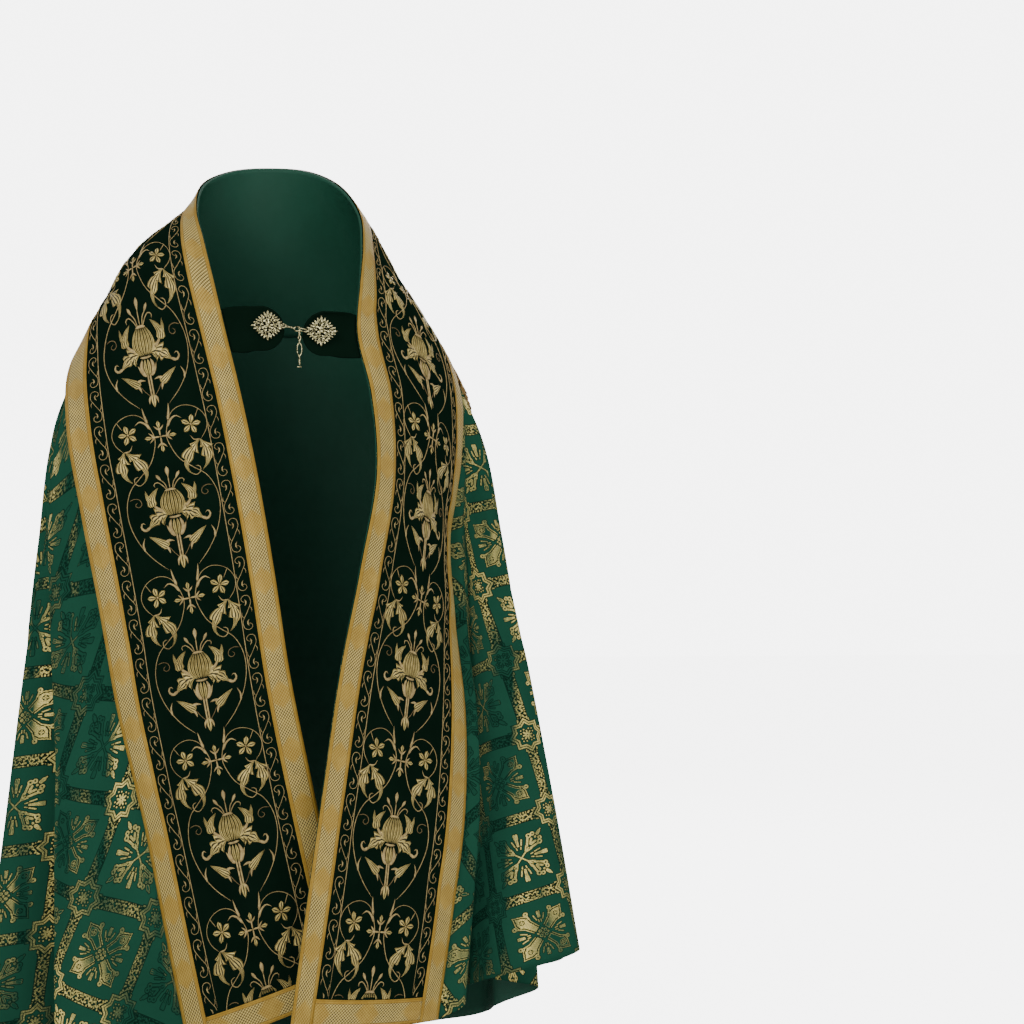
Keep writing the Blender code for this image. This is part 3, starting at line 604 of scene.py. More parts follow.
class Finish:
    """A material made from nodes, with short names for the nodes that patterns use."""

    def __init__(self, name, **settings):
        self.material = bpy.data.materials.new(name)
        self.material.use_nodes = True
        self.tree = self.material.node_tree
        self.shader = self.tree.nodes["Principled BSDF"]
        for socket, value in settings.items():
            self.shader.inputs[socket.replace("_", " ")].default_value = value

    def field(self, kind, inputs=(), out=0, **settings):
        return Field(self.tree, add_node(self.tree, kind, inputs, **settings).outputs[out])

    def cloth(self):
        """The piece's own flat coordinates, in metres."""
        return self.field("ShaderNodeTexCoord", out="UV")

    def place(self):
        return self.field("ShaderNodeTexCoord", out="Object")

    def split(self, vector, count=2):
        outputs = add_node(self.tree, "ShaderNodeSeparateXYZ", (vector,)).outputs
        return tuple(Field(self.tree, outputs[axis]) for axis in range(count))

    def join(self, x, y, z=0.0):
        return self.field("ShaderNodeCombineXYZ", (x, y, z))

    def vector(self, kind, *values, out="Value"):
        return self.field("ShaderNodeVectorMath", values, out, operation=kind)

    def spot(self, place, x, y):
        """Distance from a point."""
        return self.vector("DISTANCE", place, (x, y, 0.0))

    def line(self, place, x0, y0, x1, y1):
        """Distance from a short straight line."""
        start, way = Vector((x0, y0, 0.0)), Vector((x1 - x0, y1 - y0, 0.0))
        from_start = self.vector("SUBTRACT", place, start, out="Vector")
        share = self.vector("DOT_PRODUCT", from_start, way / way.length_squared).clamped()
        nearest = self.field("ShaderNodeVectorMath", {0: way, "Scale": share}, operation="SCALE")
        return self.vector("DISTANCE", from_start, nearest)

    def lines(self, place, *rows):
        """Distance outside the nearest of several thick lines: the two ends of each, and half its width."""
        outside = [self.line(place, *row[:4]) - row[4] for row in rows]
        return outside[0].least(*outside[1:])

    def spots(self, place, *rows):
        """Distance outside the nearest of several round spots: the middle of each, and its radius."""
        outside = [self.spot(place, *row[:2]) - row[2] for row in rows]
        return outside[0].least(*outside[1:])

    def noise(self, vector, scale, detail=2.0, rough=0.5):
        inputs = {"Vector": vector, "Scale": scale, "Detail": detail, "Roughness": rough}
        return self.field("ShaderNodeTexNoise", inputs)

    def cells(self, vector, scale):
        return self.field("ShaderNodeTexVoronoi", {"Vector": vector, "Scale": scale}, "Distance")

    def mix(self, share, low, high):
        low, high = (value if isinstance(value, Field) else (*value, 1.0) for value in (low, high))
        return self.field("ShaderNodeMix", {0: share, 6: low, 7: high}, 2, data_type="RGBA")

    def colour(self, value):
        self.set("Base Color", value)

    def set(self, socket, value):
        feed(self.tree, self.shader.inputs[socket], value)

    def bump(self, height, distance):
        inputs = {"Strength": 1.0, "Distance": distance, "Height": height}
        self.set("Normal", self.field("ShaderNodeBump", inputs))


REPEAT_WIDTH, REPEAT_HEIGHT = 0.225, 0.214  # from one woven cross to the next, beside and below
CROSS_DROP = 1.024  # the middle of the back has a cross this far below the neck


def brocade_cross(made, far, near):
    """A budded cross: a rosette in its middle, a beaded eye in each clover end and curls between the arms."""
    long, wide = far * 1.10, near * 1.10
    arm = made.join(long, wide)
    radius = made.vector("LENGTH", arm)
    eye = made.spot(arm, 0.214, 0.0)
    bar = (wide - 0.015 - long * 0.10).most(long - 0.20)
    clover = (eye - 0.043).least(made.lines(arm, (0.160, 0.018, 0.196, 0.040, 0.009)))
    tip = (wide - (0.284 - long) * 0.62).least(made.spots(arm, (0.252, 0.0, 0.019)))
    shape = bar.least(clover, tip.most(0.215 - long))
    beads = made.spots(arm, (0.205, 0.009, 0.0058), (0.223, 0.009, 0.0058), (0.214, 0.0, 0.0045))
    rosette = made.spots(arm, (0.033, 0.0, 0.014), (0.032, 0.032, 0.008), (0.0, 0.0, 0.009))
    body = shape.most(0.026 - eye).most(0.066 - radius).least(beads, rosette)
    edging = ((shape - 0.0160).abs() - 0.0028).most(0.080 - radius)
    curl = (made.spot(arm, 0.233, 0.084) - 0.014).abs() - 0.0055
    rays = made.lines(
        arm, (0.185, 0.056, 0.218, 0.080, 0.0040), (0.120, 0.112, 0.160, 0.148, 0.0058),
        (0.118, 0.078, 0.166, 0.100, 0.0042), (0.088, 0.074, 0.104, 0.088, 0.0040),
    )
    return body.least(edging, curl, rays)


def brocade_flower(made, far, near):
    """A wheel of palms, hearts, buds and rays."""
    leaf = made.join(far, near)
    curls = ((made.spot(leaf, 0.196, 0.054) - 0.0150).abs() - 0.0048).least(
        (made.spot(leaf, 0.226, 0.036) - 0.0130).abs() - 0.0046
    )
    return made.lines(
        leaf, (0.112, 0.018, 0.176, 0.050, 0.0075), (0.142, 0.004, 0.184, 0.020, 0.0078),
        (0.246, 0.0, 0.272, 0.0, 0.0125), (0.272, 0.0, 0.296, 0.0, 0.0045), (0.0, 0.0, 0.104, 0.0, 0.0042),
        (0.066, 0.004, 0.108, 0.026, 0.0045), (0.132, 0.122, 0.156, 0.144, 0.0085),
        (0.080, 0.074, 0.128, 0.118, 0.0035), (0.098, 0.062, 0.140, 0.086, 0.0042),
        (0.066, 0.046, 0.082, 0.056, 0.0032),
    ).least(curls, made.spots(leaf, (0.214, 0.0, 0.0085)))


DIAGONAL = 0.7071  # the sine of 45 degrees


def brocade_figure(made):
    """Distance outside the woven gold, in repeats, folded so that one eighth of each figure draws it all."""
    x, y = made.split(made.cloth())
    u = ((x / REPEAT_WIDTH + 0.5).fract() - 0.5).abs()
    v = (((y - CROSS_DROP) / REPEAT_HEIGHT + 0.5).fract() - 0.5).abs()
    far, near = u.most(v), u.least(v)
    cross = brocade_cross(made, far, near)
    flower = brocade_flower(made, (0.5 - u).most(0.5 - v), (0.5 - u).least(0.5 - v))

    # an eight-pointed star where two bands meet
    star_far, star_near = (0.5 - far).most(near), (0.5 - far).least(near)
    star = made.join(star_far, star_near)
    point = (star_far - 0.112).least((star_far + star_near) * DIAGONAL - 0.112)
    ring = ((point + 0.006).abs() - 0.0050).least((point + 0.026).abs() - 0.0048)
    petals = made.lines(star, (0.012, 0.0, 0.040, 0.0, 0.0062), (0.010, 0.010, 0.027, 0.027, 0.0052))
    seeds = made.spots(star, (0.054, 0.0224, 0.0055), (0.070, 0.0, 0.0050))
    star_gold = ring.least(petals, seeds)

    # slanting bands between the crosses and the flowers, filled with a vine and sprigs
    off, course = (far + near - 0.5) * DIAGONAL, (far - near) * DIAGONAL
    vine = (off - (course * 88.0).sin() * 0.020).abs() - 0.0032
    sprigs = (made.cells(made.join(course, off * 0.8), 70.0) - 0.34) * 0.014
    filling = vine.least(sprigs).most(off.abs() - 0.043)
    edges = ((off.abs() - 0.050).abs() - 0.0034).most(0.205 - course)
    band = filling.least(edges).most(0.014 - point)
    return cross.least(flower, band, star_gold)


def brocade_finish():
    """Green cloth with figures in gold thread, outlined in dark green. Where the gold shows is painted shine:
    long streaks of painted highlight, and elsewhere painted glints along the figures' rims.
    """
    made = Finish("brocade", Roughness=0.6, Specular_IOR_Level=0.0)
    cloth = made.cloth()
    figure = brocade_figure(made)
    inside = figure.within(0.003)
    outline = (figure - 0.006).within(0.003)
    rims = (figure + 0.0055).within(0.003) * -1.0 + 1.0
    # Painted shine: long noise streaks in the cloak's own space, shaped differently at the back, stand in for
    # where the gold thread catches the light; `lines` and `glints` paint thin glints of gold along the
    # figures' rims elsewhere.
    east, north, up = made.split(made.place(), 3)
    behind = (north * 8.0).clamped()
    painted_shine_strips = made.noise(made.join(east * 15.0 + 3.0, north * 9.0, up * (behind * 5.0 + 1.6)), 1.0, 2.0, 0.6)
    painted_shine_patches = painted_shine_strips.contrast(0.50, 8.0)
    lines = (painted_shine_strips + behind * 0.06).contrast(0.42, 6.0)
    glints = made.noise(cloth, 330.0, 1.0).contrast(0.52, 12.0)
    # The gold shows inside the figures, within the painted shine; its metal and bump follow the same painted
    # mask.
    gold = inside * painted_shine_patches.most(rims * lines * (glints * 0.5 + 0.5))
    ground = made.mix(made.noise(cloth, 7.0), (0.0085, 0.050, 0.030), (0.0130, 0.070, 0.042))
    # Inside the figures the green is darker; it shows wherever the painted shine is off.
    ground = made.mix(inside * 0.30, ground, (0.0060, 0.034, 0.021))
    # The dark outline is the weave's own; it is a little darker inside the painted shine.
    ground = made.mix(outline * (1.0 - inside) * (0.80 + painted_shine_patches * 0.18), ground, (0.0012, 0.0062, 0.0040))
    grain = made.noise(cloth, 520.0, 2.0).contrast(0.5, 2.4, 0.5)
    thread = made.mix(grain, (0.28, 0.215, 0.050), (0.98, 0.84, 0.29))
    made.colour(made.mix(gold, ground, thread))
    made.set("Metallic", gold * 0.5)
    made.set("Roughness", 0.6 - gold * 0.2)
    x, y = made.split(cloth)
    made.bump((x.wave(0.0011) + y.wave(0.0009)) * 0.5 + gold, 0.00012)
    return made.material


def lining_finish():
    """Plain green twill."""
    made = Finish("lining", Roughness=0.5, Specular_IOR_Level=0.2)
    cloth = made.cloth()
    made.colour(made.mix(made.noise(cloth, 14.0), (0.0085, 0.056, 0.032), (0.0125, 0.074, 0.044)))
    x, y = made.split(cloth)
    made.bump((x + y).wave(0.0010), 0.00008)
    return made.material


def velvet_finish():
    """Velvet so dark that only its nap shows the green."""
    made = Finish("velvet", Roughness=1.0, Sheen_Weight=0.02, Sheen_Roughness=0.3,
                  Sheen_Tint=(0.25, 0.60, 0.40, 1.0), Specular_IOR_Level=0.0)
    place = made.place()
    made.colour(made.mix(made.noise(place, 20.0, 3.0), (0.0016, 0.0058, 0.0032), (0.0036, 0.0110, 0.0064)))
    made.bump(made.noise(place, 1400.0, 1.0), 0.00035)
    return made.material


LOZENGE_PITCH = 0.084  # from one mustard lozenge of the braid to the next


def braid_finish():
    """Gold braid: pale basket weave down the middle, with painted shade in its hollows, mustard borders, and
    mustard lozenges at intervals.
    """
    made = Finish("braid", Roughness=0.45, Specular_IOR_Level=0.2)
    cloth = made.cloth()
    run, off = made.split(cloth)
    edge = off.abs()
    first, second = (run * 0.82 + off).wave(0.0043), (run * 0.82 - off).wave(0.0043)
    basket = (first * 0.70 + second * 0.50).clamped(0.5)
    cords, fine = run.cords(0.0016), (run * 0.6 + edge).cords(0.0015)
    lozenge = ((run / LOZENGE_PITCH).fract() - 0.5).abs() * LOZENGE_PITCH
    wander = (made.noise(cloth, 150.0, 2.0) - 0.5) * 0.006
    patch = (lozenge + edge * 0.95 - 0.0175 + wander).within(0.006) * 0.65
    mustard = patch.most((0.0134 - edge).within(0.0010))
    wear = made.noise(cloth, 45.0, 3.0).contrast(0.45, 2.5) * 0.30
    # The weave's dark low is partly painted shade between the raised cords; the weave itself and the lozenges
    # are the braid's own pattern.
    pale = made.mix(basket, (0.085, 0.061, 0.019), (0.58, 0.440, 0.138))
    deep = made.mix(fine, (0.18, 0.097, 0.011), (0.47, 0.285, 0.038))
    mixed = made.mix(wear, made.mix(mustard, pale, deep), (0.62, 0.44, 0.10))
    dots = ((edge - 0.0130).abs() - 0.0003).within(0.0005) * (0.35 + cords * 0.65)
    rows = ((edge - 0.0160).abs() - 0.0002).within(0.0005) * cords
    made.colour(made.mix(dots.most(rows) * 0.75, mixed, (0.085, 0.045, 0.008)))
    made.set("Metallic", 0.25 + basket * 0.10)
    made.bump(basket * (1.0 - mustard) + fine * 0.5, 0.00045)
    return made.material


def thread_finish(name, low, high, metal, rough=0.42):
    """Satin stitch: fine threads laid across each stroke."""
    made = Finish(name, Metallic=metal, Roughness=rough, Specular_IOR_Level=0.25)
    run, off = made.split(made.cloth())
    threads = (run + off * 0.6).cords(0.0009)
    shade = made.noise(made.place(), 190.0).contrast(0.5, 2.6, 0.5)
    worn = made.noise(made.place(), 10.0).contrast(0.52, 5.0) * 0.42
    made.colour(made.mix((threads * 0.35 + shade * 0.65) * (1.0 - worn), low, high))
    made.bump(threads, 0.00022)
    return made.material


def veined_finish(low, high, gap):
    """Filled leaves: rows of gold thread that follow the leaf, with dark gaps between them."""
    made = Finish("veined gold thread", Metallic=0.3, Roughness=0.42, Specular_IOR_Level=0.25)
    run, coded = made.split(made.cloth())
    count = ((coded + 2.0) / 4.0).math("FLOOR")
    share = (coded - count * 4.0).abs()
    rows = 0.5 - (share * count * (2 * math.pi) + math.pi / 2).sin() * 0.5
    outline = (0.86 - share).within(0.04)
    threads = ((run * 620.0 + share * 2.2) * (2 * math.pi)).sin() * 0.5 + 0.5
    shade = made.noise(made.place(), 150.0).contrast(0.5, 2.4, 0.5)
    worn = made.noise(made.place(), 10.0).contrast(0.52, 5.0)
    gold = made.mix((threads * 0.4 + shade * 0.6) * (1.0 - worn * 0.5), low, high)
    dark = ((0.52 - rows) * 6.0).clamped() * (1.0 - outline)
    made.colour(made.mix(dark * 0.96, gold, gap))
    made.bump(rows, 0.0005)
    return made.material


def fringe_finish():
    """Dull gold bullion, streaked along the strands."""
    made = Finish("fringe", Metallic=0.2, Roughness=0.5, Specular_IOR_Level=0.2)
    east, north, up = made.split(made.place(), 3)
    grain = made.noise(made.join(east, north * 0.7, up * 0.14), 300.0, 2.0)
    made.colour(made.mix(grain.contrast(0.5, 4.2, 0.5), (0.080, 0.042, 0.010), (0.46, 0.30, 0.115)))
    return made.material


def gilt_finish():
    """Pale gilt metal with painted highlights and painted dark reflections, in small random spots."""
    made = Finish("gilt", Metallic=1.0)
    place = made.place()
    # Painted highlight and painted dark reflection: noise spots between a near black and a bright gold stand
    # in for how the metal reflects.
    shine = made.noise(place, 420.0, 2.0).contrast(0.5, 4.0, 0.5)
    made.colour(made.mix(shine, (0.035, 0.030, 0.011), (0.86, 0.79, 0.44)))
    made.set("Roughness", made.noise(place, 420.0) * 0.25 + 0.12)
    made.bump(made.noise(place, 700.0), 0.0002)
    return made.material


BROCADE, LINING, VELVET, BRAID = brocade_finish(), lining_finish(), velvet_finish(), braid_finish()
FRINGE, GILT = fringe_finish(), gilt_finish()
THREADS = [
    thread_finish("pale gold thread", (0.20, 0.138, 0.056), (0.56, 0.42, 0.175), 0.30),
    thread_finish("deep gold thread", (0.090, 0.060, 0.022), (0.24, 0.17, 0.070), 0.25),
    veined_finish((0.26, 0.19, 0.052), (0.72, 0.57, 0.195), (0.008, 0.009, 0.004)),
    thread_finish("white thread", (0.52, 0.52, 0.49), (0.86, 0.86, 0.82), 0.0, 0.5),
    thread_finish("tonal thread", (0.004, 0.013, 0.009), (0.013, 0.029, 0.020), 0.0, 0.5),
]


# ---------------------------------------------------------------- the cloak
SKIRT_ROWS, FAN_COLUMNS, BACK_COLUMNS, UNDER_COLUMNS = 90, 200, 30, 8
SUNK = 0.0004  # how far the brocade lies back under the velvet
# How much finer the woven pattern is at the right and the left front than at the back, and its turn there
FRONT_WEAVE = ((0.34, 0.08), (0.27, 0.13))
FRONT_TURN = math.radians(70)  # how far round the half circle the pattern has the fronts' scale
VELVET_STEPS = (0.006, 0.0065)  # the mesh along and across the bands
BRAID_STEP, BRAID_COLUMNS = 0.004, 13


def add_cloak():
    """The half circle of brocade, lined inside, over both zones in one sheet."""
    downs = np.linspace(0, 1, SKIRT_ROWS + 1)
    backs = np.linspace(-SHOULDER_REACH, SHOULDER_REACH, 2 * BACK_COLUMNS + 1)
    fronts = front_along(downs[1:])
    alongs = np.concatenate([-fronts[::-1], backs, fronts])
    acrosses = np.linspace(0, BAND_WIDTH, UNDER_COLUMNS + 1)
    grid_along, grid_across, band = grid(alongs, acrosses)

    # The skirt zone shares its top row with the band zone's outer edge, and its end columns with the fronts'.
    fan = np.linspace(-1, -BACK_AROUND, FAN_COLUMNS + 1)[:-1]
    arounds = np.concatenate([fan, backs / SHOULDER_REACH * BACK_AROUND, -fan[::-1]])
    right, left = len(fronts), len(fronts) + len(backs) - 1
    skirt = np.zeros((len(arounds), len(downs)), int)
    column = np.clip(np.arange(len(arounds)) - FAN_COLUMNS, 0, len(backs) - 1)
    skirt[:, 0] = band[right + column, -1]
    rows = np.arange(1, len(downs))
    skirt[0, 1:], skirt[-1, 1:] = band[right - rows, -1], band[left + rows, -1]
    grid_around, grid_down, inside = grid(arounds[1:-1], downs[1:])
    skirt[1:-1, 1:] = inside + band.size

    points = np.concatenate([band_point(grid_along, grid_across), skirt_point(grid_around, grid_down)])
    flat = np.concatenate([np.stack([grid_along, grid_across], axis=1), skirt_flat(grid_around, grid_down)])
    quads = np.concatenate([grid_quads(band), grid_quads(skirt)])
    turn, reach = np.arctan2(flat[:, 0], flat[:, 1]), np.linalg.norm(flat, axis=1)
    front = ease(np.abs(turn) / FRONT_TURN)
    finer, twist = (np.where(turn < 0, *pair) for pair in zip(*FRONT_WEAVE))
    turn, reach = turn - np.sign(turn) * twist * front, reach * (1 + finer * front)
    woven = np.stack([reach * np.sin(turn), reach * np.cos(turn)], axis=1)

    points = points + point_normals(points, quads) * crease_depth(flat, CREASES)[:, None]
    under = np.append(grid_across < BAND_WIDTH - 1e-6, np.zeros(len(grid_around), bool))
    normals = point_normals(points, quads)
    points = points - normals * np.where(under, SUNK, 0)[:, None]
    return add_wall("cloak", points, normals, quads, -CLOTH_WALL, 0, [BROCADE, LINING], woven)


def braid_top(foot, columns):
    """Heights across a braid, which is round and has thin edges."""
    crown = 1 - np.abs(np.linspace(-1, 1, columns)) ** 6
    return foot + BRAID_WALL * (0.45 + 0.55 * crown)


def add_bands(band):
    """Velvet, braids and collar lining on the band zone."""
    pieces = {}
    half, last = BRAID_WIDTH / 2, BAND_LENGTH - BRAID_WIDTH
    for side, start, end in (("right", -BAND_LENGTH, -SEAM_GAP / 2), ("left", SEAM_GAP / 2, BAND_LENGTH)):
        pieces[f"orphrey_{side}"] = add_patch(
            f"velvet_band_{side}", band, steps(start, end, VELVET_STEPS[0]),
            steps(0, BAND_WIDTH, VELVET_STEPS[1]), SEAM_GAP, VELVET_TOP, VELVET,
        )
    whole = steps(-BAND_LENGTH, BAND_LENGTH, BRAID_STEP)
    across, top = np.linspace(0, BRAID_WIDTH, BRAID_COLUMNS), braid_top(BRAID_FOOT, BRAID_COLUMNS)
    for name, first in (("braid_inner", 0.0), ("braid_outer", BAND_WIDTH - BRAID_WIDTH)):
        pieces[name] = add_patch(
            f"gold_{name}", band, whole, across + first, BRAID_FOOT, np.tile(top, len(whole)), BRAID,
            lambda u, v: np.stack([u, v - (first + half)], axis=1),
        )
    between = steps(BRAID_WIDTH, BAND_WIDTH - BRAID_WIDTH, BRAID_STEP)
    for name, first in (("braid_hem_right", -BAND_LENGTH), ("braid_back", -half), ("braid_hem_left", last)):
        pieces[name] = add_patch(
            f"gold_{name}", band, across + first, between, BRAID_FOOT, np.repeat(top, len(between)), BRAID,
            lambda u, v: np.stack([v, u - (first + half)], axis=1),
        )
    outside = -CLOTH_WALL - SEAM_GAP - SUNK
    pieces["collar_lining"] = add_patch(
        "neck_lining", band, steps(-LINING_REACH, LINING_REACH, VELVET_STEPS[0]),
        steps(0, BAND_WIDTH, VELVET_STEPS[1]), outside - LINING_WALL, outside, LINING,
    )
    return pieces


# ---------------------------------------------------------------- hood
def hood_point(side, drop):
    """The hood hangs over the back of the cloak, clear of it, and further clear at its sides."""
    around, down = side / SHOULDER_REACH * BACK_AROUND, drop / SKIRT_LENGTH
    step = 2e-3
    beside = skirt_base(around + step, down) - skirt_base(around - step, down)
    below = skirt_base(around, down + step) - skirt_base(around, np.maximum(down - step, 0))
    normals = unit(np.cross(beside, below))
    clear = HOOD_LIFT[0] + (HOOD_LIFT[1] - HOOD_LIFT[0]) * drop / HOOD_DROP
    clear = clear + HOOD_SIDE_LIFT * np.abs(side / HOOD_HALF_WIDTH) ** 3 * ease(drop / 0.06)
    return skirt_base(around, down) + normals * clear[:, None]


def hood_outline(out, counts):
    """The hood's edge, moved out by `out`: down the left side, along the foot and up the right side."""
    side_cells, corner_cells, foot_cells = counts
    half, foot, corner = HOOD_HALF_WIDTH + out, HOOD_DROP + out, HOOD_CORNER + out
    straight = foot - corner
    points = [(half, HOOD_TOP + (straight - HOOD_TOP) * k / side_cells) for k in range(side_cells)]
    for k in range(corner_cells):
        turn = math.radians(90) * k / corner_cells
        points.append((half - corner + corner * math.cos(turn), straight + corner * math.sin(turn)))
    inner = half - corner
    points += [(inner - 2 * inner * k / foot_cells, foot) for k in range(foot_cells + 1)]
    mirror = [(-x, z) for x, z in reversed(points[: side_cells + corner_cells])]
    return np.array(points + mirror)


HOOD_CELLS = (44, 30, 60)  # along one side, round one corner and along the foot
HOOD_RINGS = 9  # across the braid on the hood


def add_hood(hood):
    """The velvet hood and the braid on its sides and foot."""
    wide = HOOD_RINGS - 1
    rings = [hood_outline(-BRAID_WIDTH * k / wide, HOOD_CELLS) for k in range(HOOD_RINGS)]
    for ring in rings:
        ring[[0, -1], 1] = HOOD_TOP
    # Inside the rings, straight columns run from the top edge to the foot.
    inner = rings[-1]
    deep = HOOD_CELLS[0] + HOOD_CELLS[1]
    foot = inner[deep : len(inner) - deep]
    shares = (foot[:, 0] - foot[0, 0]) / (foot[-1, 0] - foot[0, 0])
    field = np.zeros((len(shares), deep + 1, 2))
    for row in range(deep + 1):
        start, end = inner[row], inner[len(inner) - 1 - row]
        field[:, row] = start + (end - start) * shares[:, None]
    numbers = np.arange(field.shape[0] * field.shape[1]).reshape(field.shape[:2])
    rim = np.concatenate([numbers[0, :deep], numbers[:, deep], numbers[-1, :deep][::-1]])
    band = numbers.size + np.arange(wide * len(rim)).reshape(wide, len(rim))
    ring_index = np.concatenate([band, rim[None]]).T
    flat = np.concatenate([field.reshape(-1, 2)] + rings[:wide])
    quads = np.concatenate([grid_quads(numbers)[:, ::-1], grid_quads(ring_index)])
    points, normals = hood.at(flat[:, 0], flat[:, 1]), hood.normal(flat[:, 0], flat[:, 1])
    velvet = add_wall("velvet_hood", points, normals, quads, 0, VELVET_WALL, [VELVET], flat)

    edge = np.stack(rings, axis=1).reshape(-1, 2)
    run = path_lengths(rings[wide // 2])
    off = np.linspace(BRAID_WIDTH / 2, -BRAID_WIDTH / 2, HOOD_RINGS)
    uvs = np.stack([np.repeat(run, HOOD_RINGS), np.tile(off, len(run))], axis=1)
    low = VELVET_WALL + SEAM_GAP
    high = np.tile(braid_top(low, HOOD_RINGS), len(run))
    index = np.arange(len(edge)).reshape(len(run), HOOD_RINGS)
    braid = add_wall(
        "gold_braid_hood", hood.at(edge[:, 0], edge[:, 1]), hood.normal(edge[:, 0], edge[:, 1]),
        grid_quads(index), low, high, [BRAID], uvs,
    )
    return velvet, braid


# ---------------------------------------------------------------- what repeats along a path
REPEAT_INPUTS = {"Item": "Object", "Finish": "Material", "Spacing": "Float", "Wobble": "Float", "Seed": "Int"}


def repeat_tree(name):
    """Nodes that set one item along a path, standing on its `out` and turned to its `way` attribute."""
    tree = bpy.data.node_groups.new(name, "GeometryNodeTree")
    for label, kind in {"Geometry": "Geometry", **REPEAT_INPUTS}.items():
        tree.interface.new_socket(label, in_out="INPUT", socket_type=f"NodeSocket{kind}")
    tree.interface.new_socket("Geometry", in_out="OUTPUT", socket_type="NodeSocketGeometry")
    node = functools.partial(add_node, tree)
    start, end = node("NodeGroupInput").outputs, node("NodeGroupOutput")
    curve, resample = node("GeometryNodeMeshToCurve"), node("GeometryNodeResampleCurve", mode="LENGTH")
    item, place = node("GeometryNodeObjectInfo"), node("GeometryNodeInstanceOnPoints")
    way, out = (node("GeometryNodeInputNamedAttribute", {"Name": name}, data_type="FLOAT_VECTOR")
                for name in ("way", "out"))
    low, high = (node("ShaderNodeVectorMath", {0: (sign, sign, sign)}, operation="SCALE") for sign in (-1, 1))
    shake = node("FunctionNodeRandomValue", data_type="FLOAT_VECTOR")
    bent = node("ShaderNodeVectorMath", operation="ADD")
    stand = node("FunctionNodeAlignRotationToVector", axis="Z")
    turn = node("FunctionNodeAlignRotationToVector", axis="X", pivot_axis="AUTO")
    real, paint = node("GeometryNodeRealizeInstances"), node("GeometryNodeSetMaterial")
    for source, target, socket in (
        (start["Geometry"], curve, "Mesh"), (curve.outputs[0], resample, "Curve"),
        (start["Spacing"], resample, "Length"), (start["Item"], item, "Object"),
        (start["Seed"], shake, "Seed"), (start["Wobble"], low, "Scale"), (start["Wobble"], high, "Scale"),
        (low.outputs[0], shake, 0), (high.outputs[0], shake, 1),
        (way.outputs["Attribute"], bent, 0), (shake.outputs[0], bent, 1),
        (out.outputs["Attribute"], stand, "Vector"), (stand.outputs[0], turn, "Rotation"),
        (bent.outputs[0], turn, "Vector"), (resample.outputs[0], place, "Points"),
        (item.outputs["Geometry"], place, "Instance"), (turn.outputs[0], place, "Rotation"),
        (place.outputs[0], real, 0), (real.outputs[0], paint, "Geometry"),
        (start["Finish"], paint, "Material"), (paint.outputs[0], end, 0),
    ):
        tree.links.new(source, target.inputs[socket])
    return tree


def add_repeat(name, tree, path, way, out, *settings):
    """One plain mesh of the item set along the path; the settings are in the order of REPEAT_INPUTS."""
    mesh = bpy.data.meshes.new(name)
    mesh.from_pydata([tuple(p) for p in path], [(k, k + 1) for k in range(len(path) - 1)], [])
    for label, values in (("way", way), ("out", out)):
        attribute = mesh.attributes.new(label, "FLOAT_VECTOR", "POINT")
        attribute.data.foreach_set("vector", np.asarray(values, np.float32).ravel())
    guide = add_object(name + "_path", mesh)
    modifier = guide.modifiers.new("repeat", "NODES")
    modifier.node_group = tree
    named = {s.name: s.identifier for s in tree.interface.items_tree if s.in_out == "INPUT"}
    for label, value in zip(REPEAT_INPUTS, settings):
        modifier[named[label]] = value
    graph = bpy.context.evaluated_depsgraph_get()
    plain = bpy.data.meshes.new_from_object(guide.evaluated_get(graph))
    guide.modifiers.remove(modifier)
    bpy.data.objects.remove(guide)
    plain.name = name
    return add_object(name, plain)


STRAND_RINGS, STRAND_SIDES = 9, 4
STRAND_TWIST = 1.6  # turns along the strand
STRAND_BOW = 0.004


def strand_item():
    """One bullion strand: a twisted square rod, from the origin along X, that bows a little towards Z."""
    share, corner, _ = grid(np.linspace(0, 1, STRAND_RINGS), np.arange(STRAND_SIDES) / STRAND_SIDES)
    thick = STRAND_THICK / 2 * np.where(share == 0, 0.75, np.where(share == 1, 0.8, 1.0))
    turn = 2 * np.pi * (corner + share * STRAND_TWIST)
    lift = STRAND_BOW * np.sin(np.pi * share) * (1 - share)
    points = np.stack([FRINGE_DROP * share, thick * np.cos(turn), thick * np.sin(turn) + lift], axis=1)
    return add_mesh("strand", points, outward(points, capped_tube(STRAND_RINGS, STRAND_SIDES)), [FRINGE])


FRINGE_CELLS = (60, 40, 60)  # along one side, round one corner and along the foot
# Each layer: times the spacing, distance in front of the strip, and seed.
FRINGE_LAYERS = ((1.0, 0.0, 7), (1.13, 0.0012, 8))
FRINGE_WOBBLE = 0.10
FRINGE_LEAN = (0.55, 0.85, 0.22)  # how much the strands point away from the hood's edge, down and out


def add_fringe(hood, tree):
    """Two layers of strands that hang from the hood's sides and foot."""
    edge, beyond = (hood_outline(out, FRINGE_CELLS).T for out in (0.002, FRINGE_STRIP))
    points, normals = hood.at(*edge), hood.normal(*edge)
    aside, down, front = FRINGE_LEAN
    way = unit(unit(unit(hood.at(*beyond) - points) * aside - np.array([0, 0, down])) + normals * front)
    item = strand_item()
    layers = [
        add_repeat(f"fringe_{seed}", tree, points + normals * (VELVET_WALL / 2 + lift), way, normals,
                   item, FRINGE, FRINGE_SPACING * apart, FRINGE_WOBBLE, seed)
        for apart, lift, seed in FRINGE_LAYERS
    ]
    bpy.data.objects.remove(item)
    return joined("bullion_fringe", layers)


def joined(name, objects):
    """One mesh object made of several, which it takes in."""
    for other in objects:
        other.select_set(True)
    bpy.context.view_layer.objects.active = objects[0]
    with bpy.context.temp_override(active_object=objects[0], selected_editable_objects=objects):
        bpy.ops.object.join()
    objects[0].name = objects[0].data.name = name
    return objects[0]


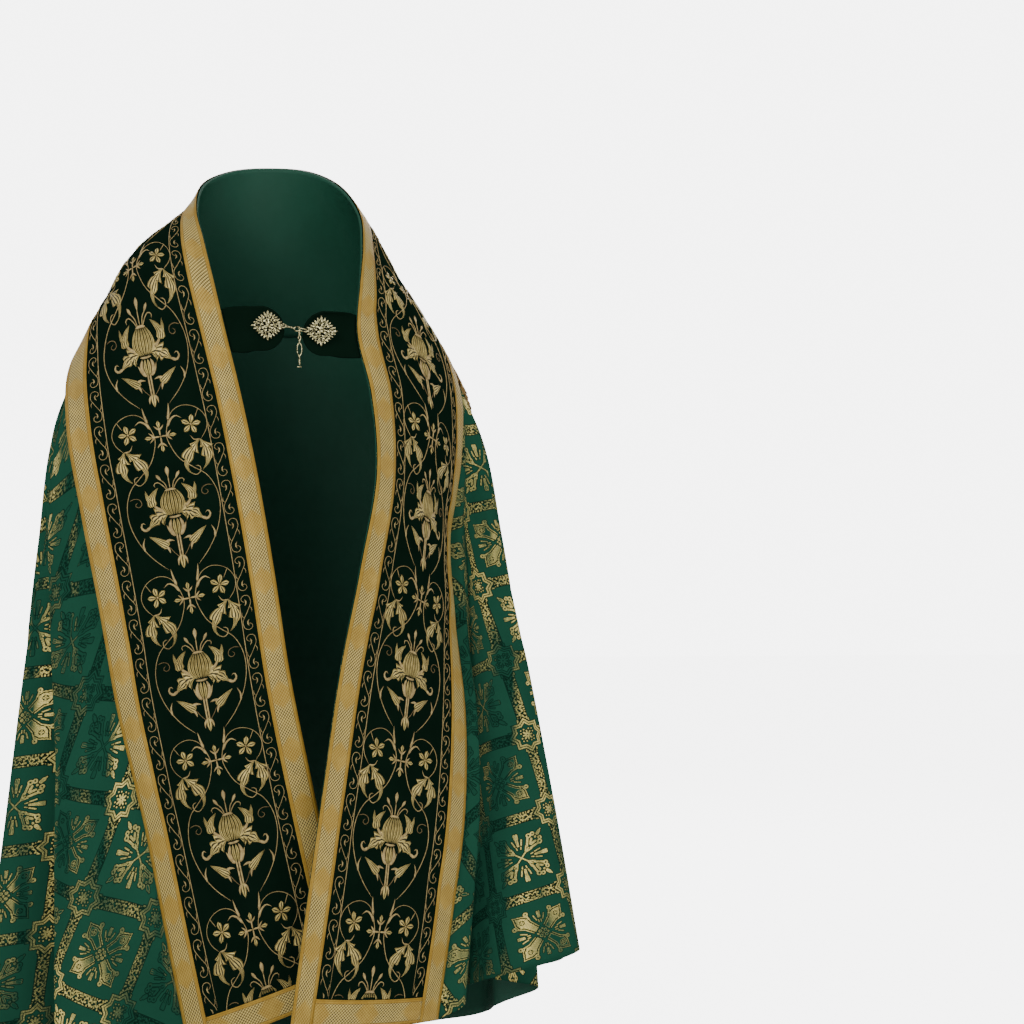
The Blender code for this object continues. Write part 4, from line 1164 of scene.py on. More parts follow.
# ---------------------------------------------------------------- embroidery
def smooth_path(points, size):
    """A smooth line through the points, cut into steps of about `size`."""
    points = np.asarray(points, float)
    reach = path_lengths(points)
    count = max(4, int(round(reach[-1] / size)) + 1)
    return through(reach, points, np.linspace(0, reach[-1], count))


def drawn(places, widths):
    return lambda t: np.interp(t, places, widths)


# How wide each kind of stroke is along its length, as a share of its full width.
PROFILES = {
    "stem": lambda t: np.minimum(1, np.minimum(t, 1 - t) * 12 + 0.25),
    "leaf": lambda t: np.sin(np.pi * t**0.85) ** 0.8 + 0.02,
    "petal": lambda t: np.sin(np.pi * t**1.35) ** 0.75 + 0.05,
    "taper": lambda t: (1 - t) ** 0.7 * np.minimum(1, t * 10 + 0.5) + 0.06,
    "drop": lambda t: np.sin(np.pi * t**1.6) ** 0.9 + 0.05,
    "acanthus": drawn((0, 0.08, 0.26, 0.48, 0.66, 0.84, 1), (0.14, 0.50, 1.0, 0.88, 0.46, 0.18, 0.05)),
    "spray": drawn((0, 0.12, 0.34, 0.50, 0.66, 0.84, 1), (0.16, 0.34, 1.0, 0.86, 0.42, 0.18, 0.05)),
    "dart": drawn((0, 0.10, 0.34, 0.70, 1), (0.55, 1.0, 0.86, 0.46, 0.04)),
}
LOBED = {"acanthus": 3, "spray": 2, "dart": 0}  # how many pointed lobes each side of a veined leaf has
LEAF_ROWS = 2  # how many rows of thread fill each side of such a leaf; other veined strokes have one
LEAF_STEP = 0.0013


def lobes(share, count, hand):
    """A leaf's jagged edge: every lobe swells towards the tip, then drops back."""
    saw = (share * 1.5 * count + 0.30 * hand) % 1.0
    fade = np.clip((0.70 - share) / 0.14, 0, 1)
    return 1 + fade * (0.95 * saw - 0.50)


class Embroidery:
    """Raised satin stitch: each stroke is a low closed ridge along a path, laid on a surface."""

    RIDGE = np.array([(-1.0, 0.0), (-0.62, 0.72), (0.0, 1.0), (0.62, 0.72), (1.0, 0.0)])

    def __init__(self, surface, foot, place=None):
        self.surface, self.foot, self.place, self.keep = surface, foot, place, None
        self.points, self.uvs, self.faces, self.kinds = [], [], [], []
        self.count = 0

    def kept(self, path, share):
        """The first stretch of the path that isn't cut off, if any."""
        inside = np.concatenate([[False], self.keep(path), [False]])
        changes = np.flatnonzero(np.diff(inside.astype(int)))
        first, last = changes[:2] if len(changes) else (0, 0)
        return path[first:last], share[first:last]

    def stroke(self, path, width, profile, height, kind, size=0.0035):
        path = smooth_path(path, LEAF_STEP if profile in LOBED else size)
        share = np.linspace(0, 1, len(path))
        if self.keep:
            path, share = self.kept(path, share)
        n = len(path)
        if n < 3:
            return
        half = width / 2 * PROFILES[profile](share)
        sides = [half * (lobes(share, LOBED[profile], hand) if LOBED.get(profile) else 1) for hand in (0, 1)]
        way = unit(np.gradient(path, axis=0))
        beside = np.stack([-way[:, 1], way[:, 0]], axis=1)
        ridge, wide = self.RIDGE, len(self.RIDGE)
        reach = np.where(ridge[:, 0] < 0, sides[0][:, None], sides[1][:, None]) * ridge[:, 0]
        flat = path[:, None] + beside[:, None] * reach[..., None]
        rise = self.foot + height * ridge[:, 1] * np.clip(half / (width / 2), 0.3, 1)[:, None]
        u, v = self.place(flat.reshape(-1, 2))
        run = np.linspace(0, path_lengths(path)[-1], n)
        across = (half[:, None] * ridge[:, 0]).ravel()
        if kind == VEINED:  # the share of the leaf's half width, after four times the rows of thread in it
            across = np.tile(ridge[:, 0], n) + 4 * (LEAF_ROWS if profile in LOBED else 1)
        index = np.arange(wide * n).reshape(n, wide)
        walls, ends = grid_quads(np.concatenate([index, index[:, :1]], axis=1)), []
        for a, b, c, d, e in (index[0], index[-1, ::-1]):
            ends += [(a, b, d, e), (b, c, c, d)]
        points = self.surface.at(u, v, rise.ravel())
        faces = outward(points, np.concatenate([walls, ends]))
        self.points.append(points)
        self.uvs.append(np.stack([np.repeat(run, wide), across], axis=1))
        self.faces.append(faces + self.count)
        self.kinds.append(np.full(len(faces), kind))
        self.count += len(points)

    def finish(self, name, finishes):
        gathered = (self.points, self.faces, self.uvs, self.kinds)
        points, faces, uvs, kinds = (np.concatenate(strokes) for strokes in gathered)
        return add_mesh(name, points, faces, finishes, uvs, kinds)


Stroke = namedtuple("Stroke", "profile width kind path")
PALE, DEEP, VEINED, WHITE, TONAL = range(5)
# One half of the thistle motif, in millimetres from the middle of its flower; the other half mirrors it.
HALF_MOTIF = [Stroke(*row) for row in (
    ("stem", 1.25, PALE, [(-23, -102), (-41, -84), (-54, -66), (-65, -42), (-70, -17), (-68, 6), (-58, 28),
                         (-40, 44), (-22, 61), (-14, 77), (-9, 98), (-13, 114), (-18, 127)]),
    ("taper", 4.4, PALE, [(-16, 122), (-19, 134), (-21, 147)]),
    ("taper", 4.2, PALE, [(-13, 112), (-20, 122), (-28, 126), (-36, 121)]),
    ("stem", 1.0, PALE, [(-17, 124), (-24, 133), (-37, 139), (-55, 136), (-68, 125), (-73, 110), (-69, 96),
                         (-59, 84)]),
    ("stem", 1.1, PALE, [(-64, 132), (-56, 118)]),
    ("taper", 2.6, PALE, [(-58, 84), (-49, 85), (-44, 93)]),
    ("spray", 19.0, VEINED, [(-58, 84), (-62, 75), (-65, 65), (-65, 54), (-61, 44), (-54, 37)]),
    ("spray", 19.0, VEINED, [(-56, 84), (-49, 77), (-41, 68), (-34, 58), (-31, 48), (-33, 39), (-38, 33)]),
    ("stem", 1.4, PALE, [(-36, 35), (-43, 31), (-50, 35), (-50, 43), (-44, 45)]),
    ("stem", 1.2, DEEP, [(-64, 11), (-56, 13), (-48, 10), (-46, 3), (-51, -1), (-56, 3), (-52, 7)]),
    ("taper", 3.8, PALE, [(-54, -67), (-55, -58), (-51, -48)]),
    ("taper", 6.5, PALE, [(-13, -15), (-21, -10), (-28, -2), (-30, 6)]),
    ("dart", 14.5, VEINED, [(-30, -4), (-31, 6), (-26, 15), (-18, 23)]),
    ("dart", 8.5, VEINED, [(-31, 3), (-36, 11), (-38, 22)]),
    ("acanthus", 25.0, VEINED, [(-10, -19), (-19, -19), (-29, -24), (-37, -31), (-43, -37)]),
    ("taper", 5.0, PALE, [(-39, -33), (-48, -37), (-53, -31), (-50, -25), (-46, -28)]),
    ("stem", 1.6, PALE, [(-4, 17), (-7, 28), (-12, 34)]),
    ("drop", 4.6, PALE, [(-10, 31), (-14, 37), (-18, 43)]),
    ("stem", 1.5, PALE, [(-5, 17), (-11, 26), (-18, 31), (-23, 29), (-22, 24)]),
    ("taper", 6.0, PALE, [(-4, -53), (-10, -46), (-15, -35)]),
    ("stem", 1.2, DEEP, [(-3, -86), (-10, -78), (-16, -68)]),
    ("dart", 13.5, VEINED, [(-17, -67), (-25, -61), (-34, -54), (-44, -47)]),
    ("taper", 5.5, PALE, [(-21, -60), (-14, -58), (-7, -60)]),
    ("taper", 5.5, PALE, [(-22, -65), (-18, -70), (-16, -78)]),
    ("stem", 2.7, PALE, [(-1.9, -50), (-1.9, -86)]),
    ("taper", 5.0, PALE, [(-1, -84), (-6, -90), (-7, -98)]),
)]
MIDDLE_MOTIF = [Stroke(*row) for row in (
    ("stem", 3.8, PALE, [(-8.5, 16.5), (0, 17.5), (8.5, 16.5)]),
    ("stem", 3.4, PALE, [(-9, -24), (0, -25), (9, -24)]),
    ("stem", 1.7, PALE, [(0, 18), (0, 38)]),
    ("drop", 6.2, PALE, [(0, 35), (0, 44), (0, 53)]),
    ("leaf", 8.0, VEINED, [(0, -82), (0, -92), (0, -104)]),
)]
MOTIF_SCALE = (0.00095, 0.00096)  # metres across and along for each of the motif's millimetres
MOTIF_SHIFT = -0.004  # the motifs lie a little nearer the band's inner edge
FLOWER_MIDDLE, CROSS_MIDDLE = (-48, 109), (0, 99)
MOTIF_ALONG = (0.180, 0.418, 0.656, 0.894, 1.132, 1.370)  # the last one is cut off by the hem braid


def local(middle, turn):
    """Places given as pairs, forth and to the left, from a middle and in the way that the angle points."""
    way, beside = np.array([math.cos(turn), math.sin(turn)]), np.array([-math.sin(turn), math.cos(turn)])
    return lambda *pairs: [middle + way * forth + beside * left for forth, left in pairs]


def motif_strokes():
    """All strokes of one motif: both halves, the bulb, the small flowers and the budded cross."""
    strokes = list(MIDDLE_MOTIF)
    for mirror in (1, -1):
        strokes += [row._replace(path=[(x * mirror, y) for x, y in row.path]) for row in HALF_MOTIF]
        x, y = FLOWER_MIDDLE[0] * mirror, FLOWER_MIDDLE[1]
        for petal in range(5):
            spot = local(np.array([x, y]), math.radians(90 + 72 * petal + 14 * mirror))
            strokes.append(Stroke("petal", 7.8, VEINED, spot((1.0, 0), (7.5, 0), (15.5, 0))))
        strokes.append(Stroke("leaf", 3.6, PALE, [(x - 1.6, y), (x, y), (x + 1.6, y)]))
    for rib in range(-3, 4):
        path = [(rib * 2.0, -22), (rib * 4.6, -14), (rib * 5.5, -4), (rib * 4.6, 7), (rib * 2.4, 17)]
        strokes.append(Stroke("leaf", 4.7, VEINED, path))
    for rib in (-1.5, -0.5, 0.5, 1.5):
        path = [(rib * 4.4, -27), (rib * 6.4, -38), (rib * 2.4, -54)]
        strokes.append(Stroke("leaf", 5.4, VEINED if abs(rib) < 1 else PALE, path))
    for quarter in range(4):
        arm = local(np.array(CROSS_MIDDLE), math.radians(90 * quarter))
        strokes.append(Stroke("stem", 2.6, PALE, arm((0, 0), (15, 0))))
        strokes.append(Stroke("petal", 6.2, VEINED, arm((12, 0), (17, 0), (24, 0))))
        for hand in (1, -1):
            strokes.append(Stroke("taper", 3.6, PALE, arm((10, 0), (13, 4 * hand), (17, 7.5 * hand))))
    return strokes


STITCH_LIFT = 0.0001  # how far the embroidery's foot is above the velvet
MOTIF_HEIGHTS = {PALE: 0.0009, DEEP: 0.0008, VEINED: 0.0011}
BORDER_HEIGHT = 0.0006


def add_band_embroidery(band, side):
    """The row of thistle motifs down one front, cut off at the braids."""
    sign = 1 if side == "left" else -1
    start, end = BRAID_WIDTH / 2 + 0.001, BAND_LENGTH - BRAID_WIDTH - 0.0005

    def placed(bulb):
        def place(flat):
            return sign * np.clip(bulb - flat[:, 1], start, end), BAND_WIDTH / 2 + MOTIF_SHIFT + flat[:, 0]

        def keep(flat):
            return (bulb - flat[:, 1] > start) & (bulb - flat[:, 1] < end)

        return place, keep

    work = Embroidery(band, VELVET_TOP + STITCH_LIFT)
    strokes = motif_strokes()
    for bulb in MOTIF_ALONG:
        work.place, work.keep = placed(bulb)
        for row in strokes:
            path = np.array(row.path) * MOTIF_SCALE
            work.stroke(path, row.width / 1000, row.profile, MOTIF_HEIGHTS[row.kind], row.kind)
    return work.finish(f"embroidery_{side}", THREADS)


BORDER_PERIOD = 0.0565  # the length of one S of the running scroll
BORDER_MIDDLE = 0.0115  # from the braid to the middle of the running scroll
BORDER_LINE = 0.0205  # from the braid to the thin line beside it
# One period of the running scroll in millimetres: the long S, then the small leaf inside each curl.
SCROLL = [Stroke(*row) for row in (
    ("stem", 0.95, PALE, [(9, -1), (10, 3), (6, 6), (1, 2), (2, -5), (10, -7.5), (24, -1), (40, 7.5), (48, 5),
                         (50, -2), (45, -6), (41, -3), (42, 1)]),
    ("leaf", 2.2, PALE, [(6, 1), (11, -1), (16, 2)]),
    ("leaf", 2.2, PALE, [(45, -1), (40, 1), (35, -2)]),
    ("stem", 1.0, PALE, [(17, -4.5), (21, -7.5), (26, -7)]),
    ("stem", 1.0, PALE, [(33, 4.5), (29, 7.5), (24, 7)]),
)]


def add_borders(band, side):
    """The running scroll and its thin line, beside the braids of one front."""
    sign = 1 if side == "left" else -1
    work = Embroidery(band, VELVET_TOP + STITCH_LIFT)
    start, end = BRAID_WIDTH / 2 + 0.002, BAND_LENGTH - BRAID_WIDTH - 0.001
    for hand, edge in ((1, BRAID_WIDTH), (-1, BAND_WIDTH - BRAID_WIDTH)):
        def place(flat, hand=hand, edge=edge):
            return sign * np.clip(flat[:, 0], start, end), edge + hand * flat[:, 1]

        work.place = place
        work.stroke([(start, BORDER_LINE), (end, BORDER_LINE)], 0.0013, "stem", BORDER_HEIGHT, PALE, 0.006)
        work.keep = lambda flat: flat[:, 0] < end
        for repeat in range(int((end - start) / BORDER_PERIOD) + 1):
            first = start + (repeat + 0.02) * BORDER_PERIOD
            for row in SCROLL:
                path = np.array(row.path) / 1000 + np.array([first, BORDER_MIDDLE])
                work.stroke(path, row.width / 1000, row.profile, BORDER_HEIGHT, PALE)
    return work.finish(f"border_{side}", THREADS)


def ring_path(radius, end=360.0, count=25, middle=(0.0, 0.0)):
    turns = np.radians(np.linspace(0, end, count))
    return np.stack([middle[0] + radius * np.cos(turns), middle[1] + radius * np.sin(turns)], axis=1)


EMBLEM_DROP = 0.265  # from the hood's top edge to the emblem's middle
EMBLEM_RING = 0.088
EMBLEM_BEADS = 32
ROUNDEL_REACH = 0.142  # from the emblem's middle to the middle of each roundel
CORNERS = (0.185, (0.105, 0.425))  # how far beside the middle, and below the top edge, the corner sprays are
ORIGIN = np.zeros(2)


def emblem_arm(work, turn):
    """One flared arm of the white cross with its gold edges, and a leaf in the angle beside it."""
    arm, slant = local(ORIGIN, turn), local(ORIGIN, turn + math.radians(45))
    for lane in np.linspace(-1, 1, 5):
        path = arm((0.008, lane * 0.004), (0.030, lane * 0.0075), (0.055, lane * 0.0155))
        work.stroke(path, 0.0068, "stem", 0.0011, WHITE)
    for lane in (-1, 1):
        path = arm((0.010, lane * 0.0085), (0.030, lane * 0.0120), (0.057, lane * 0.0215))
        work.stroke(path, 0.0022, "stem", 0.0012, PALE)
    work.stroke(arm((0.0575, -0.021), (0.060, 0), (0.0575, 0.021)), 0.0026, "stem", 0.0012, PALE)
    work.stroke(slant((0.018, 0), (0.034, 0), (0.058, 0)), 0.0080, "petal", 0.0009, DEEP)
    work.stroke(slant((0.020, 0), (0.040, 0), (0.062, 0)), 0.0022, "leaf", 0.0012, PALE)


def emblem_spray(work, turn, long):
    """A stem with a bud, three pairs of leaves and two curls, from the ring outwards."""
    place = local(ORIGIN, turn)

    def spots(*pairs):
        return place(*((EMBLEM_RING + 0.003 + forth * long, left) for forth, left in pairs))

    work.stroke(spots((0, 0), (0.5, 0), (0.92, 0)), 0.0018, "stem", 0.0007, PALE)
    work.stroke(spots((0.84, 0), (0.94, 0), (1.08, 0)), 0.0080, "drop", 0.0009, PALE)
    for forth, reach, kind in ((0.12, 0.024, PALE), (0.34, 0.030, DEEP), (0.58, 0.024, PALE)):
        for hand in (1, -1):
            tip = (forth + 0.30, hand * reach)
            work.stroke(spots((forth, 0), (forth + 0.13, tip[1] * 0.55), tip), 0.0048, "leaf", 0.0009, kind)
            ball = spots((tip[0], tip[1] - hand * 0.001), (tip[0], tip[1] + hand * 0.004))
            work.stroke(ball, 0.0034, "leaf", 0.0009, DEEP)
    for hand in (1, -1):
        curl = ((0.02, 0.006), (0.10, 0.022), (0.04, 0.034), (-0.01, 0.026), (0.03, 0.021))
        work.stroke(spots(*((forth, hand * left) for forth, left in curl)), 0.0014, "stem", 0.0006, PALE)


def emblem_roundel(work, turn):
    """A small ring edged with beads, and a five-petalled flower in it."""
    middle = local(ORIGIN, turn)((ROUNDEL_REACH, 0))[0]
    work.stroke(ring_path(0.020, middle=middle), 0.0013, "stem", 0.0006, PALE, 0.003)
    for dot in range(16):
        bead = local(middle, dot * math.pi / 8)((0.0235, 0))[0]
        work.stroke([bead - [0.0008, 0], bead, bead + [0.0008, 0]], 0.0018, "leaf", 0.0006, DEEP)
    for petal in range(5):
        path = local(middle, turn + math.radians(72) * petal)((0.001, 0), (0.007, 0), (0.014, 0))
        work.stroke(path, 0.0062, "petal", 0.0009, VEINED)


def corner_spray(work, middle, turn):
    """A faint spray of leaves in the velvet's own colour."""
    spots = local(middle, turn)
    work.stroke(spots((-0.045, 0), (0, 0), (0.040, 0)), 0.0018, "stem", 0.0005, TONAL)
    for forth, reach in ((-0.030, 0.030), (-0.010, 0.034), (0.012, 0.026)):
        for hand in (1, -1):
            path = spots((forth, 0), (forth + 0.014, hand * reach * 0.6), (forth + 0.018, hand * reach))
            work.stroke(path, 0.0070, "leaf", 0.0006, TONAL)
            curl = ring_path(0.006, 250, 9, spots((forth + 0.020, hand * (reach + 0.004)))[0])
            work.stroke(curl, 0.0013, "stem", 0.0005, TONAL)
    work.stroke(spots((0.036, 0), (0.046, 0), (0.058, 0)), 0.0090, "drop", 0.0006, TONAL)


def add_emblem(hood):
    """The hood's ornament: a white flared cross in a beaded ring, in a wheel of eight leaf sprays."""
    work = Embroidery(hood, VELVET_WALL + STITCH_LIFT, lambda flat: (flat[:, 0], EMBLEM_DROP - flat[:, 1]))
    for radius in (EMBLEM_RING, EMBLEM_RING - 0.013):
        work.stroke(ring_path(radius, count=49), 0.0016, "stem", 0.0006, PALE, 0.004)
    middle = EMBLEM_RING - 0.0065
    for k in range(EMBLEM_BEADS):
        place = local(ORIGIN, 2 * math.pi * k / EMBLEM_BEADS)
        path = place((middle - 0.0028, 0), (middle, 0), (middle + 0.0028, 0))
        work.stroke(path, 0.0036, "leaf", 0.0009, DEEP if k % 2 else PALE)
    for quarter in range(4):
        emblem_arm(work, math.radians(90 * quarter))
    work.stroke(ring_path(0.0075, count=17), 0.0040, "stem", 0.0014, PALE, 0.003)
    for spray in range(8):
        emblem_spray(work, math.radians(45 * spray), 0.112 if spray % 2 == 0 else 0.088)
        emblem_roundel(work, math.radians(45 * spray + 22.5))
    for x in (-1, 1):
        for y, drop in zip((1, -1), CORNERS[1]):
            corner_spray(work, np.array([x * CORNERS[0], EMBLEM_DROP - drop]), math.atan2(y, x))
    return work.finish("hood_emblem", THREADS)


# ---------------------------------------------------------------- morse
def band_inner_at(side, heights):
    """Where the inner edge of a front is at each height."""
    alongs = (-1 if side == "right" else 1) * np.linspace(0.3, 0.7, 81)
    edge = band_point(alongs, np.zeros(len(alongs)))
    order = np.argsort(edge[:, 2])
    return np.stack([np.interp(heights, edge[order, 2], edge[order, k]) for k in range(3)], axis=1)


def tab_point(morse, share, turn):
    """Points of a tab: `share` runs from its sewn root to its round end, `turn` from its foot to its top."""
    sign = 1 if morse.side == "right" else -1
    radius = TAB_HEIGHT / 2
    heights = morse.height + radius * np.sin(turn)
    roots = band_inner_at(morse.side, heights)
    roots[:, 0] += sign * 0.0012
    tips = np.stack([
        morse.tip_x - sign * radius * (1 - np.cos(turn)), np.full(len(turn), morse.tip_y), heights,
    ], axis=1)
    points = roots * (1 - share[:, None]) + tips * share[:, None]
    points[:, 1] -= 0.004 * np.sin(np.pi * share)
    return points


def add_tab(morse):
    """A velvet tab: a wall that gets thinner at its round edge."""
    share, turn, index = grid(np.linspace(0, 1, 25), np.radians(np.linspace(-90, 90, 25)))
    points, quads = tab_point(morse, share, turn), grid_quads(index)
    normals = point_normals(points, quads)
    if normals[:, 1].mean() > 0:
        quads, normals = quads[:, ::-1], -normals
    edge = np.cos(turn) * np.minimum(1, (1 - share) * 8 + np.abs(np.cos(turn)))
    high = TAB_EDGE * (np.clip(edge * 4, 0, 1) - 1)
    name = f"morse_tab_{morse.side}_velvet"
    return add_wall(name, points, normals, quads, -TAB_WALL, high, [VELVET], points[:, [0, 2]])


def loop_quads(index):
    """The quads of a grid whose rows and columns both close."""
    index = np.concatenate([index, index[:, :1]], axis=1)
    return grid_quads(np.concatenate([index, index[:1]]))


def tube_mesh(path, radius, sides=6, closed=False, flatten=1.0):
    """A round wire along a path, as points and faces ready to join into one mesh."""
    path = np.asarray(path, float)
    way = unit(np.roll(path, -1, 0) - np.roll(path, 1, 0)) if closed else unit(np.gradient(path, axis=0))
    first = unit(np.cross(way, np.array([0.0, 1.0, 0.0]) + 1e-6))
    second = np.cross(way, first)
    turns = 2 * np.pi * np.arange(sides) / sides
    radius = np.broadcast_to(np.asarray(radius, float), len(path))
    forth, beside = np.cos(turns)[None, :, None], np.sin(turns)[None, :, None]
    ring = first[:, None] * forth + second[:, None] * beside * flatten
    points = (path[:, None] + ring * radius[:, None, None]).reshape(-1, 3)
    if not closed:
        return points, capped_tube(len(path), sides)
    return points, loop_quads(np.arange(len(points)).reshape(len(path), sides))


class Wires:
    """Wires and plates gathered into one mesh."""

    def __init__(self):
        self.points, self.faces, self.count = [], [], 0

    def add(self, points, faces):
        self.points.append(points)
        self.faces.append(outward(points, faces) + self.count)
        self.count += len(points)

    def tube(self, path, radius, closed=False, sides=6, flatten=1.0):
        self.add(*tube_mesh(path, radius, sides, closed, flatten))

    def finish(self, name, finish):
        return add_mesh(name, np.concatenate(self.points), np.concatenate(self.faces), [finish])


DIAMOND = 1.22  # 1 gives a diamond with straight sides, and 2 a circle
CLASP_TEETH = 24
CLASP_RING = 0.76  # the share of the clasp where its jagged rim starts
# Each row of curled leaves: how many, where they start and end as shares of the clasp, half width and lift.
CLASP_LEAVES = (
    (13, 0.50, 0.80, 0.0015, 0.0013), (9, 0.26, 0.56, 0.0018, 0.0018), (6, 0.08, 0.34, 0.0018, 0.0022),
)


def diamond_reach(turn):
    return 1 / (np.abs(np.cos(turn)) ** DIAMOND + np.abs(np.sin(turn)) ** DIAMOND) ** (1 / DIAMOND)


def add_clasp(morse, front):
    """Cast openwork: pointed leaves round a diamond, rows of curled leaves inside and a round boss."""
    work = Wires()
    random = np.random.default_rng(7 if morse.side == "right" else 11)
    x, z = morse.clasp_x, morse.clasp_z
    face = front - 0.0016

    def spot(turn, reach, lift=0.0):
        turn, reach = np.broadcast_arrays(np.asarray(turn, float), np.asarray(reach, float))
        d = diamond_reach(turn)
        return np.stack([
            x + CLASP_WIDTH / 2 * np.cos(turn) * d * reach, face - lift + 0.0 * turn,
            z + CLASP_HEIGHT / 2 * np.sin(turn) * d * reach,
        ], axis=-1)

    turns = np.linspace(0, 2 * np.pi, 72, endpoint=False)
    for reach, thick in ((CLASP_RING, 0.00065), (0.44, 0.00060)):
        work.tube(spot(turns, reach), thick, closed=True)
    around = np.linspace(0, 2 * np.pi, 6 * CLASP_TEETH, endpoint=False)
    jagged = 0.885 + 0.115 * np.cos(around * CLASP_TEETH)
    section = ((CLASP_RING, 0.0), (jagged, 0.0), (jagged, 0.0008), (CLASP_RING, 0.0015))
    rings = np.concatenate([spot(around, reach, lift) for reach, lift in section])
    work.add(rings, loop_quads(np.arange(len(rings)).reshape(len(section), -1)))
    for leaf in range(CLASP_TEETH):
        path = spot(2 * np.pi * leaf / CLASP_TEETH, np.array([0.68, 0.76, 0.84, 0.93]))
        work.tube(path, np.array([0.0006, 0.0011, 0.0008, 0.0002]), flatten=0.6)
    for count, inner, outer, thick, lift in CLASP_LEAVES:
        for leaf in range(count):
            middle = 2 * np.pi * (leaf + 0.4 * random.random()) / count
            lean = (0.30 if leaf % 2 else -0.26) * (0.6 + 0.8 * random.random()) * 0.5 / max(outer, 0.3)
            share = np.linspace(0, 1, 5)
            path = spot(middle + lean * share**1.5, inner + (outer - inner) * share, lift - 0.0008 * share)
            work.tube(path, thick * np.array([0.35, 0.85, 1.0, 0.62, 0.15]), flatten=0.6)
    curl = 5.2 * np.linspace(0, 1, 12)
    for k in range(16):
        middle = 2 * np.pi * (k + 0.5) / 16
        work.tube(spot(middle + 0.10 * np.cos(curl), 0.62 + 0.10 * np.sin(curl), 0.0010), 0.00045)
    beads = [(spot(2 * np.pi * (k + 0.5) / 12, 0.66, 0.0012), 0.0011) for k in range(12)]
    beads += [(spot(0.0, 0.0, 0.0024), 0.0028)]
    for middle, size in beads:
        lift = np.linspace(-1, 1, 7)
        path = middle + np.stack([np.zeros(7), lift * size, np.zeros(7)], axis=1)
        work.add(*bead(path, np.sqrt(np.maximum(1 - lift**2, 0.002)) * size))
    return work.finish(f"morse_clasp_{morse.side}_filigree", GILT)


def bead(path, radii):
    """A ball drawn as rings along the line of sight."""
    sides = 8
    turns = 2 * np.pi * np.arange(sides) / sides
    ring = np.stack([np.cos(turns), np.zeros(sides), np.sin(turns)], axis=1)
    points = (path[:, None] + ring[None] * radii[:, None, None]).reshape(-1, 3)
    return points, capped_tube(len(path), sides)


# Each link of the chain: its middle and length as shares of the chain's drop, its width and its turn.
CHAIN_LINKS = (
    (0.06, 0.13, 0.0040, 1.3), (0.17, 0.12, 0.0036, 0.2), (0.27, 0.12, 0.0034, 1.4),
    (0.47, 0.34, 0.0068, 0.15), (0.68, 0.11, 0.0034, 1.3),
)


def add_hook_and_chain():
    """The hook: a barrel, a ring and a doubled wire over the left clasp, with a short hanging chain."""
    right, left = MORSES
    start = np.array([right.clasp_x + CLASP_WIDTH / 2 - 0.002, HOOK_Y, right.clasp_z - 0.001])
    end = np.array([left.clasp_x - CLASP_WIDTH / 2 + 0.002, HOOK_Y, left.clasp_z])

    def spot(share, out=0.0, up=0.0):
        return start + (end - start) * share + np.array([0.0, -out, up])

    def ring(work, middle, wide, high, thick, turn=0.0):
        turns = np.linspace(0, 2 * np.pi, 22, endpoint=False)
        flat = wide / 2 * np.cos(turns)
        loop = np.stack([flat * math.cos(turn), flat * math.sin(turn), high / 2 * np.sin(turns)], axis=1)
        work.tube(middle + loop, thick, closed=True)

    hook = Wires()
    barrel = np.stack([spot(share) for share in np.linspace(0.04, 0.50, 12)])
    hook.tube(barrel, 0.0013 * np.array([0.7, 1, 1, 1, 1, 1, 1, 1, 1, 1, 1, 0.7]), sides=10)
    ring(hook, spot(0.0, 0.0005), 0.0070, 0.0055, 0.0007)
    ring(hook, spot(0.62, 0.0), 0.0090, 0.0062, 0.0008)
    for hand in (1, -1):
        bends = ((0.66, 0.0004, 0.0014), (0.86, 0.0012, 0.0019), (1.05, 0.0016, 0.0017))
        hook.tube(smooth_path([spot(share, out, up * hand) for share, out, up in bends], 0.002), 0.00075)
    hook = hook.finish("morse_hook_wire", GILT)

    def hung(share, beside=0.0):
        return spot(0.72, 0.0, -0.0030) + np.array([beside, 0.0, -CHAIN_DROP * share])

    chain = Wires()
    for middle, long, wide, turn in CHAIN_LINKS:
        ring(chain, hung(middle), wide, CHAIN_DROP * long, 0.0007, turn)
    rod = [hung(share) for share in (0.72, 0.74, 0.79, 0.83, 0.88, 0.90)]
    chain.tube(rod, np.array([0.0006, 0.0013, 0.0011, 0.0012, 0.0013, 0.0006]), sides=8)
    chain.tube([hung(0.93, x) for x in (-0.0032, -0.0016, 0.0, 0.0016, 0.0032)], 0.0007)
    return hook, chain.finish("morse_chain_links", GILT)


# ---------------------------------------------------------------- stage
FLOOR_HEIGHT, FLOOR_REACH = -1.325, 12
ROOM_LIGHT = 0.8
ROOM_SEEN, FLOOR_GLOW = 6.0, 5.0  # how bright the room and the floor look to the camera, which lights nothing
LIGHTS = (  # name, place, size and power
    ("key", (-1.7, -3.0, 1.6), 2.2, 85),
    ("fill", (2.4, -2.6, 0.6), 2.4, 38),
    ("back", (0.6, 3.2, 1.6), 2.6, 75),
)


